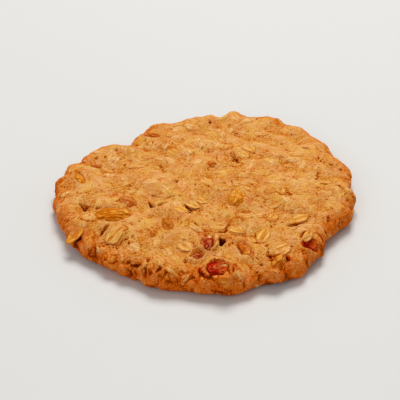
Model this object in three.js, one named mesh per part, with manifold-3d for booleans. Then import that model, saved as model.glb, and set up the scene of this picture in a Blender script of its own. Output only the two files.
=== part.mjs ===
// An oatmeal raisin cookie: one wide flat cookie of dough, pressed out by hand, with rolled oats
// baked into its crust and raisins that show through it. Millimetres, +Z up.
// The origin is the middle of the flat base that the cookie rests on.
import * as THREE from "three";
import { mergeVertices } from "three/addons/utils/BufferGeometryUtils.js";
import Module from "manifold-3d";

const wasm = await Module();
wasm.setup();

// ---- Driving dimensions ----

// The dough is drawn round its pole, which lies off the middle of the base because the rim is uneven.
const POLE = { x: -0.8, y: -2.4 };
const RIM_REACH = 65.3;
// Swellings and bites of the rim: where, how far out, and how wide, in degrees round the pole.
const RIM_LOBES = [
  { at: 60, reach: 7, spread: 38 },
  { at: 84, reach: -4.5, spread: 4 },
  { at: 105, reach: -5, spread: 17 },
  { at: 132, reach: -10.5, spread: 12 },
  { at: 155, reach: -3, spread: 8 },
  { at: 188, reach: 0.6, spread: 12 },
  { at: 250, reach: -3, spread: 55 },
  { at: 332, reach: -6.5, spread: 16 },
];
const CROWN_HEIGHT = 13.2; // middle of the top
const SHOULDER_HEIGHT = 10.6; // where the top starts to round over
const BELLY_HEIGHT = 4.4; // where the rim reaches furthest out
const SHOULDER_ROUND = 8;
const FOOT_TUCK = 4.5; // how far the foot stands in from the belly
const DOUGH_DETAIL = 10; // subdivisions of the icosahedron that the dough is shaped from
const TOP_SHARE = 0.56; // shares of the dough's triangles
const WALL_SHARE = 0.34;

const SWELLS = { count: 7, longest: 32, shortest: 11, height: 0.42, climb: 0.8, seed: 11 };
// step: how unevenly the knobs are spaced. band: where on the wall they stand, as t of bodyPoint.
const KNOBS = { count: 38, width: [3.4, 5.6], height: [0.6, 1.7], step: 0.8, band: [1.15, 2.25], seed: 23 };
// Lumps of dough that stand out by themselves. x, y: from the pole.
const LUMPS = [
  { x: -42, y: -31.6, width: 3.6, height: 0.7 },
  { x: 9, y: 59, width: 5, height: 0.8 },
  { x: 17.5, y: 59, width: 5, height: 0.8 },
  { x: 27.5, y: 56, width: 4.4, height: 1.1 },
  { x: -45, y: -19, width: 5, height: 0.7 },
  { x: -8, y: -7, width: 5, height: 0.6 },
];
const LIP_PLACE = 1.25; // middle and width of the lip round a raisin, in raisin half-sizes
const LIP_WIDTH = 0.3;
const RAISIN_GAP = 0.3; // clearance between a raisin and its pocket
const RAISIN_FOLDS = 5;
const FOLD_DEPTH = 0.2; // depth of the folds and dents, as shares of the raisin's half size
const DENT_DEPTH = 0.09;
const FOLD_TWIST = 1.6; // how far the folds turn, in radians from the middle to a tip
const DENTS = { along: 4, round: 2 };
const LARGE_RAISIN = 11.4; // raisins longer than this are shaped more finely
const POCKET_FLATTEST = 0.93; // nearest a side of the faceted pocket comes to the round one
const FLAKES = { total: 92, tries: 14, long: [8.6, 4.6], slim: [0.52, 0.8], lift: [-0.15, 0.2], seed: 5 };
const FLAKE_TILT = 9; // degrees, the most that a scattered flake tips
const FLAKE_THICK = 2.4;
const FLAKE_RAGGED = 0.16; // unevenness of a flake's outline, as a share of its size
const FLAKE_POINTED = 0.16; // how much it narrows towards its far end
const FLAKE_RIDGE = 0.85; // height of the two ridges along its back and of the crease between them
const FLAKE_CREASE = 0.42;
const CREASE_REACH = 0.3; // how far the crease reaches from the middle line, in half widths
const BACK_START = 0.1; // how high the back starts, in half thicknesses
const FLAKE_CLEAR = 0.4; // no flake comes lower than this, so the cookie rests on its flat base
const TOP_CHANCE = 0.68; // share of the scattered flakes that lie on the top, the rest on the wall
const WALL_REACH = 1.25; // how far down the wall they lie, as t of bodyPoint past the top's edge
const RAISIN_ROOM = 0.8; // how far flakes keep off raisins and holes, as shares of their half length
const HOLE_ROOM = 0.3;
const CROWDED = 100; // millimetres of room that a place over a raisin or a hole counts less

// Raisins by name. x, y: from the pole. long, wide, tall: size. turn: degrees. proud: how far the
// raisin's back stands out of the crust. lip: height of the dough that stands up round it.
const RAISINS = {
  raisin_west: { x: -37.8, y: -22.1, long: 15.8, wide: 11.6, tall: 7.5, turn: 4, proud: 2, lip: 0.3 },
  raisin_west_fold: { x: -32.8, y: -12.6, long: 9, wide: 6, tall: 5, turn: -48, proud: 1.5, lip: 0.2 },
  raisin_middle: { x: 14, y: -9.6, long: 10.6, wide: 8, tall: 7, turn: 82, proud: 1.7, lip: 0.4 },
  raisin_torn: { x: 1.8, y: -42, long: 9, wide: 7, tall: 6.5, turn: 66, proud: 1.1, lip: 0.9 },
  raisin_torn_chip: { x: -2.4, y: -49, long: 6, wide: 4.6, tall: 4, turn: 8, proud: 0.6, lip: 0.6 },
  raisin_front: { x: 6.4, y: -57, long: 9.6, wide: 8.6, tall: 7, turn: 0, proud: 1.3, lip: 0.8 },
  raisin_south: { x: 17, y: -44.5, long: 11.4, wide: 6.6, tall: 5.5, turn: -62, proud: 1.4, lip: 0.6 },
  raisin_east: { x: 44.8, y: -37.8, long: 7.8, wide: 6.4, tall: 6, turn: 8, proud: 0.9, lip: 0.4 },
  raisin_south_east: { x: 31.1, y: -51.8, long: 9, wide: 6, tall: 5, turn: 70, proud: 1.1, lip: 0.2 },
  raisin_north: { x: 3.3, y: 16.3, long: 5.2, wide: 4.4, tall: 4, turn: 20, proud: 1.0, lip: 0.4 },
  raisin_low: { x: -14.8, y: -30, long: 10.8, wide: 4.8, tall: 4.8, turn: -75, proud: 1.4, lip: 0.2 },
  raisin_low_small: { x: -21.5, y: -36, long: 5.8, wide: 4.4, tall: 4, turn: -80, proud: 1.2, lip: 0.2 },
  raisin_crevice: { x: -54.8, y: 5.5, long: 10.5, wide: 4, tall: 5, turn: -68, proud: 1.0, lip: 0.4 },
  raisin_north_west: { x: -24.5, y: 43, long: 8.6, wide: 5.6, tall: 5, turn: 10, proud: 1.2, lip: 0.2 },
  raisin_far_west: { x: -48.5, y: 18, long: 5.4, wide: 3.8, tall: 4, turn: 5, proud: 1.0, lip: 0.3 },
};

// Oat flakes that stand out, largest first. lift: how far the flake's middle stands off the crust.
// tip: degrees by which its far end rises, along turn.
const CLEAR_FLAKES = [
  { x: -37, y: -37, long: 10.5, wide: 7.2, turn: 48, lift: 0.5, tip: 6 },
  { x: 32, y: -44, long: 9.8, wide: 8, turn: 38, lift: 0.4, tip: 4 },
  { x: 5, y: -30, long: 10, wide: 7.2, turn: 20, lift: 0.1, tip: 3 },
  { x: 0.8, y: 1.3, long: 9.6, wide: 4.4, turn: -62, lift: 0.3, tip: 4 },
  { x: 25, y: -36, long: 9, wide: 5.4, turn: 64, lift: 0.4, tip: 5 },
  { x: -18, y: -52.5, long: 9, wide: 3.6, turn: -60, lift: 0.2, tip: 2 },
  { x: 20, y: 31.5, long: 8.4, wide: 5, turn: -50, lift: 0.3, tip: 3 },
  { x: 41, y: -1.5, long: 8.4, wide: 5, turn: 10, lift: 0.2, tip: 2 },
  { x: -7.5, y: -43.5, long: 8.2, wide: 5.4, turn: -50, lift: 0.4, tip: 4 },
  { x: -52.6, y: -33.2, long: 9.4, wide: 5.4, turn: 26, lift: 1, tip: -26 },
  { x: -30, y: 16.5, long: 8, wide: 5.8, turn: 22, lift: 0.1, tip: 0 },
  { x: 13.5, y: -32.5, long: 7.8, wide: 5, turn: -38, lift: 0.4, tip: 5 },
  { x: 7.4, y: 23, long: 8, wide: 3.4, turn: 95, lift: 0.1, tip: 0 },
  { x: 41, y: -20.6, long: 7.4, wide: 5.6, turn: 14, lift: 1, tip: 10 },
  { x: 17.4, y: -22.6, long: 7.2, wide: 5.4, turn: -8, lift: 0.3, tip: 3 },
  { x: -48.4, y: -24, long: 7.2, wide: 5.6, turn: 84, lift: 0.3, tip: 2 },
  { x: -9.5, y: -20.2, long: 7.2, wide: 5.8, turn: -42, lift: 0.4, tip: 4 },
  { x: 30, y: -11.4, long: 7, wide: 5.4, turn: 12, lift: 0.2, tip: 2 },
  { x: 17, y: 26, long: 7, wide: 5, turn: -40, lift: 0.2, tip: 2 },
  { x: -51.4, y: -3.2, long: 7, wide: 5, turn: 24, lift: 0.1, tip: 0 },
  { x: -1.9, y: -11.2, long: 7.8, wide: 3.8, turn: -33, lift: 0.4, tip: 3 },
  { x: -4.9, y: -14.6, long: 8.4, wide: 4.4, turn: -38, lift: 0.6, tip: 5 },
  { x: 37.4, y: -13.4, long: 6.4, wide: 5, turn: 62, lift: 0.2, tip: 2 },
  { x: 33.2, y: -2, long: 6.2, wide: 4.2, turn: 84, lift: 0.2, tip: 2 },
  { x: 6.6, y: 39, long: 6.2, wide: 4, turn: -56, lift: 0.2, tip: 2 },
  { x: 26.5, y: 46, long: 6.4, wide: 3.6, turn: -4, lift: 0.3, tip: 2 },
  { x: 14, y: 36.6, long: 6, wide: 3.6, turn: -34, lift: 0.2, tip: 2 },
  { x: -58.4, y: 13, long: 6, wide: 4.2, turn: 78, lift: 0.4, tip: 3 },
  { x: 8.6, y: 31.8, long: 5.8, wide: 4.4, turn: 80, lift: 0.1, tip: 0 },
  { x: 13, y: 18.6, long: 6, wide: 3.4, turn: 6, lift: 0.2, tip: 2 },
  { x: 43, y: -34.6, long: 7, wide: 3.9, turn: 70, lift: 0.9, tip: -6 },
  { x: 29.4, y: -21.4, long: 5.4, wide: 4, turn: 82, lift: 0.3, tip: 3 },
  { x: 20, y: -38.5, long: 5.2, wide: 3.2, turn: -54, lift: 0.5, tip: 6 },
  { x: 9, y: -61, long: 5.4, wide: 4.4, turn: 4, lift: 0.4, tip: 0 },
  { x: 51.4, y: -16, long: 5.4, wide: 3.4, turn: 100, lift: 0.3, tip: 3 },
  { x: 64.6, y: -7.2, long: 5, wide: 3.6, turn: 80, lift: 1, tip: 8 },
];

// Tears, cracks and holes in the crust. deep: how far down the hole goes.
const HOLES = [
  { x: 7.6, y: -40.8, long: 6, wide: 3, deep: 3.2, turn: 78 },
  { x: 38.2, y: -25.6, long: 8, wide: 2.4, deep: 1.7, turn: 22 },
  { x: -41.6, y: -33.6, long: 7, wide: 2.2, deep: 1.9, turn: 52 },
  { x: -22.3, y: -15.8, long: 5, wide: 2.2, deep: 2.4, turn: -58 },
  { x: -18, y: -15.4, long: 6, wide: 1.8, deep: 1.8, turn: 38 },
  { x: -51.4, y: -14.6, long: 5, wide: 2, deep: 2, turn: -50 },
  { x: -6.4, y: -20.6, long: 6, wide: 1.8, deep: 2, turn: -62 },
  { x: 14, y: 22, long: 6, wide: 1.8, deep: 1, turn: -60 },
  { x: 12.4, y: 31.8, long: 5, wide: 1.6, deep: 1, turn: 80 },
  { x: 45.8, y: 35.4, long: 4, wide: 2.2, deep: 1.8, turn: 24 },
  { x: 53, y: -19.6, long: 3.6, wide: 1.4, deep: 1.5, turn: -84 },
  { x: 8.4, y: -33.6, long: 5, wide: 1.8, deep: 1.6, turn: 40 },
  { x: 59.4, y: 4, long: 6, wide: 1.8, deep: 1.8, turn: -62 },
  { x: -53, y: -34.2, long: 5.4, wide: 3, deep: 2.6, turn: 10 },
  { x: -31, y: -56.5, long: 5, wide: 3, deep: 2.4, turn: 40 },
];

// ---- Seeded draws ----

function randomSource(seed) {
  let state = seed >>> 0;
  return () => {
    state = (Math.imul(state, 1664525) + 1013904223) >>> 0;
    return state / 2 ** 32;
  };
}

const between = (range, share) => range[0] + (range[1] - range[0]) * share;
const radians = (degrees) => (degrees * Math.PI) / 180;

// ---- The smooth body of the dough ----

function rimReach(angle) {
  let reach = RIM_REACH;
  for (const lobe of RIM_LOBES) {
    const off = ((((angle * 180) / Math.PI - lobe.at) % 360) + 540) % 360 - 180;
    reach += lobe.reach * Math.exp(-((off / lobe.spread) ** 2));
  }
  return reach;
}

// A point of the smooth body. t runs 0 to 1 out over the top, 1 to 2 down the shoulder, 2 to 3 in
// under the belly and 3 to 4 back to the pole along the flat base. lean is the angle of the outward
// direction from straight up, a quarter turn on the wall.
function bodyPoint(angle, t) {
  const rim = rimReach(angle);
  const quarter = (share) => (share * Math.PI) / 2;
  let reach, height, lean;
  if (t <= 1) {
    reach = t * (rim - SHOULDER_ROUND);
    height = SHOULDER_HEIGHT + (CROWN_HEIGHT - SHOULDER_HEIGHT) * (1 - t * t);
    lean = 0;
  } else if (t <= 2) {
    lean = quarter(t - 1);
    reach = rim - SHOULDER_ROUND * (1 - Math.sin(lean));
    height = BELLY_HEIGHT + (SHOULDER_HEIGHT - BELLY_HEIGHT) * Math.cos(lean);
  } else if (t <= 3) {
    lean = quarter(1);
    reach = rim - FOOT_TUCK * (1 - Math.cos(quarter(t - 2)));
    height = BELLY_HEIGHT * (1 - Math.sin(quarter(t - 2)));
  } else {
    lean = quarter(1);
    reach = (4 - t) * (rim - FOOT_TUCK);
    height = 0;
  }
  const point = new THREE.Vector3(reach * Math.cos(angle), reach * Math.sin(angle), height);
  const out = new THREE.Vector3(
    Math.sin(lean) * Math.cos(angle),
    Math.sin(lean) * Math.sin(angle),
    Math.cos(lean),
  );
  return { point, out };
}

// The height of t over a place on the plan, on the top or the shoulder.
function planToSkin(x, y) {
  const angle = Math.atan2(y, x);
  const flat = rimReach(angle) - SHOULDER_ROUND;
  const reach = Math.hypot(x, y);
  if (reach <= flat) return { angle, t: reach / flat };
  const share = Math.min(1, (reach - flat) / SHOULDER_ROUND);
  return { angle, t: 1 + (Math.asin(share) * 2) / Math.PI };
}

// ---- Relief: swells all over, knobs round the rim, lumps, and a lip of dough round each raisin ----

function makeSwells() {
  const random = randomSource(SWELLS.seed);
  const waves = [];
  for (let i = 0; i < SWELLS.count; i++) {
    const share = i / (SWELLS.count - 1);
    const length = SWELLS.longest * (SWELLS.shortest / SWELLS.longest) ** share;
    const heading = random() * 2 * Math.PI;
    const climb = (random() - 0.5) * SWELLS.climb;
    const turns = (2 * Math.PI) / length;
    waves.push({
      along: new THREE.Vector3(Math.cos(heading), Math.sin(heading), climb).multiplyScalar(turns),
      phase: random() * 2 * Math.PI,
      height: SWELLS.height * (length / SWELLS.longest) ** 0.5,
    });
  }
  return waves;
}

function makeKnobs() {
  const random = randomSource(KNOBS.seed);
  const knobs = [];
  for (let i = 0; i < KNOBS.count; i++) {
    const angle = ((i + KNOBS.step * random()) / KNOBS.count) * 2 * Math.PI;
    const t = between(KNOBS.band, random());
    const width = between(KNOBS.width, random());
    const height = between(KNOBS.height, random());
    knobs.push({ at: bodyPoint(angle, t).point, width, height });
  }
  for (const { x, y, width, height } of LUMPS) {
    const { angle, t } = planToSkin(x, y);
    knobs.push({ at: bodyPoint(angle, t).point, width, height });
  }
  return knobs;
}

const swells = makeSwells();
const knobs = makeKnobs();

// How far a place on the plan lies from a raisin's middle, in raisin half-sizes.
function raisinDistance(raisin, x, y) {
  const turn = radians(raisin.turn);
  const dx = x - raisin.x;
  const dy = y - raisin.y;
  const along = dx * Math.cos(turn) + dy * Math.sin(turn);
  const across = dy * Math.cos(turn) - dx * Math.sin(turn);
  return Math.hypot(along / (raisin.long / 2), across / (raisin.wide / 2));
}

function relief(point) {
  let rise = 0;
  for (const wave of swells) rise += wave.height * Math.sin(wave.along.dot(point) + wave.phase);
  for (const knob of knobs) {
    rise += knob.height * Math.exp(-point.distanceToSquared(knob.at) / knob.width ** 2);
  }
  for (const raisin of Object.values(RAISINS)) {
    const off = (raisinDistance(raisin, point.x, point.y) - LIP_PLACE) / LIP_WIDTH;
    rise += raisin.lip * Math.exp(-off * off);
  }
  return rise;
}

// A point of the crust: the body moved out by its relief, which dies away towards the flat base.
function crustPoint(angle, t) {
  const { point, out } = bodyPoint(angle, Math.min(t, 3));
  const rise = relief(point);
  point.addScaledVector(out, rise);
  if (t > 3) point.setX(point.x * (4 - t)).setY(point.y * (4 - t)).setZ(0);
  return { point, out };
}

// ---- Solids ----

function toSolid(geometry) {
  const bare = geometry.clone();
  bare.deleteAttribute("normal");
  bare.deleteAttribute("uv");
  const merged = mergeVertices(bare, 1e-3);
  const mesh = new wasm.Mesh({
    numProp: 3,
    vertProperties: merged.attributes.position.array,
    triVerts: new Uint32Array(merged.index.array),
  });
  return new wasm.Manifold(mesh);
}

function toGeometry(solid) {
  const mesh = solid.getMesh();
  const geometry = new THREE.BufferGeometry();
  geometry.setAttribute("position", new THREE.BufferAttribute(mesh.vertProperties, 3));
  geometry.setIndex(new THREE.BufferAttribute(mesh.triVerts, 1));
  const faceted = geometry.toNonIndexed();
  faceted.computeVertexNormals();
  return faceted;
}

// Moves every vertex of a geometry by a function of its position.
function reshape(geometry, move) {
  const position = geometry.attributes.position;
  const vertex = new THREE.Vector3();
  for (let i = 0; i < position.count; i++) {
    vertex.fromBufferAttribute(position, i);
    const moved = move(vertex);
    position.setXYZ(i, moved.x, moved.y, moved.z);
  }
  return geometry;
}

// The frame of a piece that lies on the crust: its length along turn, its back along the outward
// direction, its middle lifted off the crust, and its far end tipped up.
function seat(place, turn, lift, tip) {
  const { point, out } = crustPoint(place.angle, place.t);
  const lean = new THREE.Quaternion().setFromUnitVectors(new THREE.Vector3(0, 0, 1), out);
  const frame = new THREE.Matrix4().makeRotationFromQuaternion(lean);
  frame.multiply(new THREE.Matrix4().makeRotationZ(radians(turn)));
  frame.multiply(new THREE.Matrix4().makeRotationY(-radians(tip)));
  return frame.setPosition(point.addScaledVector(out, lift));
}

// An icosahedron whose upper part is spread over the top, its waist over the wall, and the rest
// over the flat base.
function makeDough() {
  const wallEnd = TOP_SHARE + WALL_SHARE;
  return reshape(new THREE.IcosahedronGeometry(1, DOUGH_DETAIL), (vertex) => {
    const angle = Math.atan2(vertex.y, vertex.x);
    const depth = (1 - vertex.z) / 2;
    let t;
    if (depth < TOP_SHARE) t = Math.sqrt(depth / TOP_SHARE);
    else if (depth < wallEnd) t = 1 + (2 * (depth - TOP_SHARE)) / WALL_SHARE;
    else t = 4 - Math.sqrt(Math.max(0, 1 - depth) / (1 - wallEnd));
    return crustPoint(angle, t).point;
  });
}

function seatRaisin(raisin) {
  return seat(planToSkin(raisin.x, raisin.y), raisin.turn, raisin.proud - raisin.tall / 2, 0);
}

const halfSize = (raisin) => new THREE.Vector3(raisin.long / 2, raisin.wide / 2, raisin.tall / 2);

// A raisin: a squashed egg with folds along it, dented where the skin has sunk.
function makeRaisin(raisin) {
  const detail = raisin.long > LARGE_RAISIN ? 3 : 2;
  const phase = raisin.x + raisin.y;
  const shape = reshape(new THREE.IcosahedronGeometry(1, detail), (vertex) => {
    const round = Math.atan2(vertex.z, vertex.y);
    const belt = 1 - vertex.x * vertex.x;
    const fold = Math.cos(RAISIN_FOLDS * round + FOLD_TWIST * vertex.x + phase);
    const dent = Math.sin(DENTS.along * vertex.x + DENTS.round * round + phase);
    const sunk = (FOLD_DEPTH * (1 - fold) + DENT_DEPTH * (1 - dent)) * belt;
    return vertex.clone().multiply(halfSize(raisin)).multiplyScalar(1 - sunk / 2);
  });
  return shape.applyMatrix4(seatRaisin(raisin));
}

// The pocket that a raisin sits in: a plain egg that stands clear of it all round.
function makePocket(raisin) {
  const half = halfSize(raisin).divideScalar(POCKET_FLATTEST).addScalar(RAISIN_GAP);
  const shape = new THREE.IcosahedronGeometry(1, 1).scale(half.x, half.y, half.z);
  return shape.applyMatrix4(seatRaisin(raisin));
}

// A rolled oat: a thin pointed oval with a crease along its back between two low ridges.
function makeFlake(flake, random) {
  const half = new THREE.Vector3(flake.long / 2, flake.wide / 2, FLAKE_THICK / 2);
  const shape = reshape(mergeVertices(bareOctahedron(), 1e-3), (vertex) => {
    const { x, y, z } = vertex;
    const uneven = 1 + (random() - 0.5) * FLAKE_RAGGED;
    const back = Math.abs(y) > CREASE_REACH ? FLAKE_RIDGE : FLAKE_CREASE;
    const narrow = 1 - FLAKE_POINTED * x;
    return new THREE.Vector3(x * uneven, y * uneven * narrow, z > BACK_START ? back : z).multiply(half);
  });
  shape.applyMatrix4(seat(flake.place, flake.turn, flake.lift, flake.tip));
  return reshape(shape, (vertex) => vertex.setZ(Math.max(vertex.z, FLAKE_CLEAR)));
}

function bareOctahedron() {
  const geometry = new THREE.OctahedronGeometry(1, 1);
  geometry.deleteAttribute("normal");
  geometry.deleteAttribute("uv");
  return geometry;
}

function makeHole(hole) {
  const shape = new THREE.IcosahedronGeometry(1, 0).scale(hole.long / 2, hole.wide / 2, hole.deep);
  return shape.applyMatrix4(seat(planToSkin(hole.x, hole.y), hole.turn, 0, 0));
}

// ---- The scatter of oat flakes ----

// The clear flakes come first. Each further flake is the best of a few draws: the one that lies
// furthest from the flakes laid so far, clear of the raisins and holes. Sizes fall as the scatter fills up.
function scatterFlakes() {
  const random = randomSource(FLAKES.seed);
  const flakes = CLEAR_FLAKES.map((flake) => ({ ...flake, place: planToSkin(flake.x, flake.y) }));
  const middles = flakes.map((flake) => bodyPoint(flake.place.angle, flake.place.t).point);
  const open = FLAKES.total - CLEAR_FLAKES.length;
  for (let i = 0; i < open; i++) {
    const long = between(FLAKES.long, i / (open - 1));
    let best = null;
    for (let n = 0; n < FLAKES.tries; n++) {
      const place = drawPlace(random);
      const middle = bodyPoint(place.angle, place.t).point;
      const room = Math.min(...middles.map((other) => other.distanceTo(middle)));
      const score = isClear(middle, long / 2) ? room : room - CROWDED;
      if (!best || score > best.score) best = { place, middle, score };
    }
    middles.push(best.middle);
    flakes.push({
      place: best.place,
      long,
      wide: long * between(FLAKES.slim, random()),
      turn: random() * 360,
      lift: between(FLAKES.lift, random()),
      tip: (random() - 0.5) * 2 * FLAKE_TILT,
    });
  }
  return flakes;
}

// A place drawn evenly over the top and the shoulder, down to just under the belly.
function drawPlace(random) {
  const angle = random() * 2 * Math.PI;
  const pick = random();
  if (pick < TOP_CHANCE) return { angle, t: Math.sqrt(pick / TOP_CHANCE) };
  return { angle, t: 1 + (WALL_REACH * (pick - TOP_CHANCE)) / (1 - TOP_CHANCE) };
}

function isClear(middle, reach) {
  const offRaisins = Object.values(RAISINS).every((raisin) => {
    const across = Math.hypot(middle.x - raisin.x, middle.y - raisin.y);
    return across > raisin.long / 2 + reach * RAISIN_ROOM;
  });
  const offHoles = HOLES.every((hole) => {
    const across = Math.hypot(middle.x - hole.x, middle.y - hole.y);
    return across > hole.long / 2 + reach * HOLE_ROOM;
  });
  return offRaisins && offHoles;
}

// ---- The cookie: dough and oats in one, with a pocket under each raisin ----

function makeCookie() {
  const random = randomSource(FLAKES.seed + 1);
  let solid = toSolid(makeDough());
  for (const flake of scatterFlakes()) solid = solid.add(toSolid(makeFlake(flake, random)));
  for (const hole of HOLES) solid = solid.subtract(toSolid(makeHole(hole)));
  for (const raisin of Object.values(RAISINS)) {
    solid = solid.subtract(toSolid(makePocket(raisin)));
  }
  const pieces = solid.decompose().sort((a, b) => b.volume() - a.volume());
  return toGeometry(pieces[0]);
}

const CRUST = new THREE.MeshStandardMaterial({ color: 0xd68d44, roughness: 0.68, metalness: 0 });
const AMBER = new THREE.MeshStandardMaterial({ color: 0xc9731c, roughness: 0.35, metalness: 0 });
const DARK = new THREE.MeshStandardMaterial({ color: 0x7c2418, roughness: 0.35, metalness: 0 });
const DARK_RAISINS = ["raisin_torn", "raisin_torn_chip", "raisin_front", "raisin_east", "raisin_south_east"];

const group = new THREE.Group();
group.name = "oatmeal_raisin_cookie";
group.position.set(POLE.x, POLE.y, 0);

const cookie = new THREE.Mesh(makeCookie(), CRUST);
cookie.name = "cookie";
group.add(cookie);

for (const [name, raisin] of Object.entries(RAISINS)) {
  const mesh = new THREE.Mesh(makeRaisin(raisin), DARK_RAISINS.includes(name) ? DARK : AMBER);
  mesh.name = name;
  group.add(mesh);
}

export default group;
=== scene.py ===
"""An oatmeal raisin cookie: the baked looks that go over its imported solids.

The dough is drawn by the same sums as the solids, then baked: knobs of dough round its rim, oats
under a film of dough, pockets for the raisins, tears and pits. Bare oat flakes, raisins and crumbs
lie on it. Lengths are millimetres from the dough's pole until a mesh is made, in metres.
"""

import math
from collections import namedtuple

import bmesh
import bpy
import numpy as np
from mathutils import Matrix, Vector


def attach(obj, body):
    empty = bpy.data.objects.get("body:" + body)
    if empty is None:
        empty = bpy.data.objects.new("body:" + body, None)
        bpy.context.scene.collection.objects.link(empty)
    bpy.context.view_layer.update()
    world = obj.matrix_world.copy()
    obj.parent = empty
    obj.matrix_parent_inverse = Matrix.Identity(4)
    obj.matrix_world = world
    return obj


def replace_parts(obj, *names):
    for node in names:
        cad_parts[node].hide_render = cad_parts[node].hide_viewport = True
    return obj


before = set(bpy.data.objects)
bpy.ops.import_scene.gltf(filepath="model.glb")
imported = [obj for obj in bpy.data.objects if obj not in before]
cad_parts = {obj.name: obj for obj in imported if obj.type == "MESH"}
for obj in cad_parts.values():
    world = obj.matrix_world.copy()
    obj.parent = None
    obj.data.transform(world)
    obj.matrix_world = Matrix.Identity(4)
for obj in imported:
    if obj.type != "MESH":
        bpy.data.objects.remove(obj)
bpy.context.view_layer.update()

# ---- Sizes shared with the solids ----

POLE = np.array([-0.8, -2.4, 0.0])  # from the middle of the base
RIM_REACH = 65.3
RIM_LOBES = [  # where, how far out and how wide, in degrees round the pole
    (60, 7, 38),
    (84, -4.5, 4),
    (105, -5, 17),
    (132, -10.5, 12),
    (155, -3, 8),
    (188, 0.6, 12),
    (250, -3, 55),
    (332, -6.5, 16),
]
CROWN_HEIGHT = 13.2
SHOULDER_HEIGHT = 10.6
BELLY_HEIGHT = 4.4
SHOULDER_ROUND = 8
FOOT_TUCK = 4.5
SWELLS = {"count": 7, "longest": 32, "shortest": 11, "height": 0.42, "climb": 0.8, "seed": 11}
KNOBS = {
    "count": 38,
    "stagger": 0.8,
    "t": (1.15, 2.25),
    "width": (3.4, 5.6),
    "height": (0.6, 1.7),
    "seed": 23,
}
LUMPS = [  # x, y, width, height
    (-42, -31.6, 3.6, 0.7),
    (9, 59, 5, 0.8),
    (17.5, 59, 5, 0.8),
    (27.5, 56, 4.4, 1.1),
    (-45, -19, 5, 0.7),
    (-8, -7, 5, 0.6),
]
LIP_PLACE = 1.25
LIP_WIDTH = 0.3
RAISIN_FOLDS = 5
FOLD_DEPTH = 0.2
DENT_DEPTH = 0.09
FOLD_TWIST = 1.6
DENTS = (4, 2)  # along and round a raisin
FLAKES = {
    "total": 92,
    "tries": 14,
    "long": (8.6, 4.6),
    "slim": (0.52, 0.8),
    "lift": (-0.15, 0.2),
    "tilt": 9,
    "bare": (0.2, 0.6, 1.0),
    "seed": 5,
}
POINTED = 0.16  # how much a flake narrows towards its far end
TOP_SHARE = 0.68  # of the small pieces, on the top; the rest are on the shoulder
SHOULDER_SPAN = 1.25  # how far down it they go, as t
CLEAR_OF_RAISINS = 0.8  # how much of a flake stays clear of raisins
CLEAR_OF_HOLES = 0.3
BLOCKED = 100  # a place on a raisin or a hole counts as worse than any clear one

Raisin = namedtuple("Raisin", "x y long wide tall turn proud lip skin veil")
RAISINS = {
    "raisin_west": Raisin(-37.8, -22.1, 15.8, 11.6, 7.5, 4, 2, 0.3, "amber", 60),
    "raisin_west_fold": Raisin(-32.8, -12.6, 9, 6, 5, -48, 1.5, 0.2, "rosy", 120),
    "raisin_middle": Raisin(14, -9.6, 10.6, 8, 7, 82, 1.7, 0.4, "honey", 40),
    "raisin_torn": Raisin(1.8, -42, 9, 7, 6.5, 66, 1.1, 0.9, "dark", 110),
    "raisin_torn_chip": Raisin(-2.4, -49, 6, 4.6, 4, 8, 0.6, 0.6, "dark", 170),
    "raisin_front": Raisin(6.4, -57, 9.6, 8.6, 7, 0, 1.3, 0.8, "red", 80),
    "raisin_south": Raisin(17, -44.5, 11.4, 6.6, 5.5, -62, 1.4, 0.6, "orange", 30),
    "raisin_east": Raisin(44.8, -37.8, 7.8, 6.4, 6, 8, 0.9, 0.4, "red", 90),
    "raisin_south_east": Raisin(31.1, -51.8, 9, 6, 5, 70, 1.1, 0.2, "turning", 100),
    "raisin_north": Raisin(3.3, 16.3, 5.2, 4.4, 4, 20, 1.0, 0.4, "orange", 90),
    "raisin_low": Raisin(-14.8, -30, 10.8, 4.8, 4.8, -75, 1.4, 0.2, "buried", 10),
    "raisin_low_small": Raisin(-21.5, -36, 5.8, 4.4, 4, -80, 1.2, 0.2, "buried", 120),
    "raisin_crevice": Raisin(-54.8, 5.5, 10.5, 4, 5, -68, 1.0, 0.4, "amber", 20),
    "raisin_north_west": Raisin(-24.5, 43, 8.6, 5.6, 5, 10, 1.2, 0.2, "orange", 90),
    "raisin_far_west": Raisin(-48.5, 18, 5.4, 3.8, 4, 5, 1.0, 0.3, "orange", 90),
}

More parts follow.
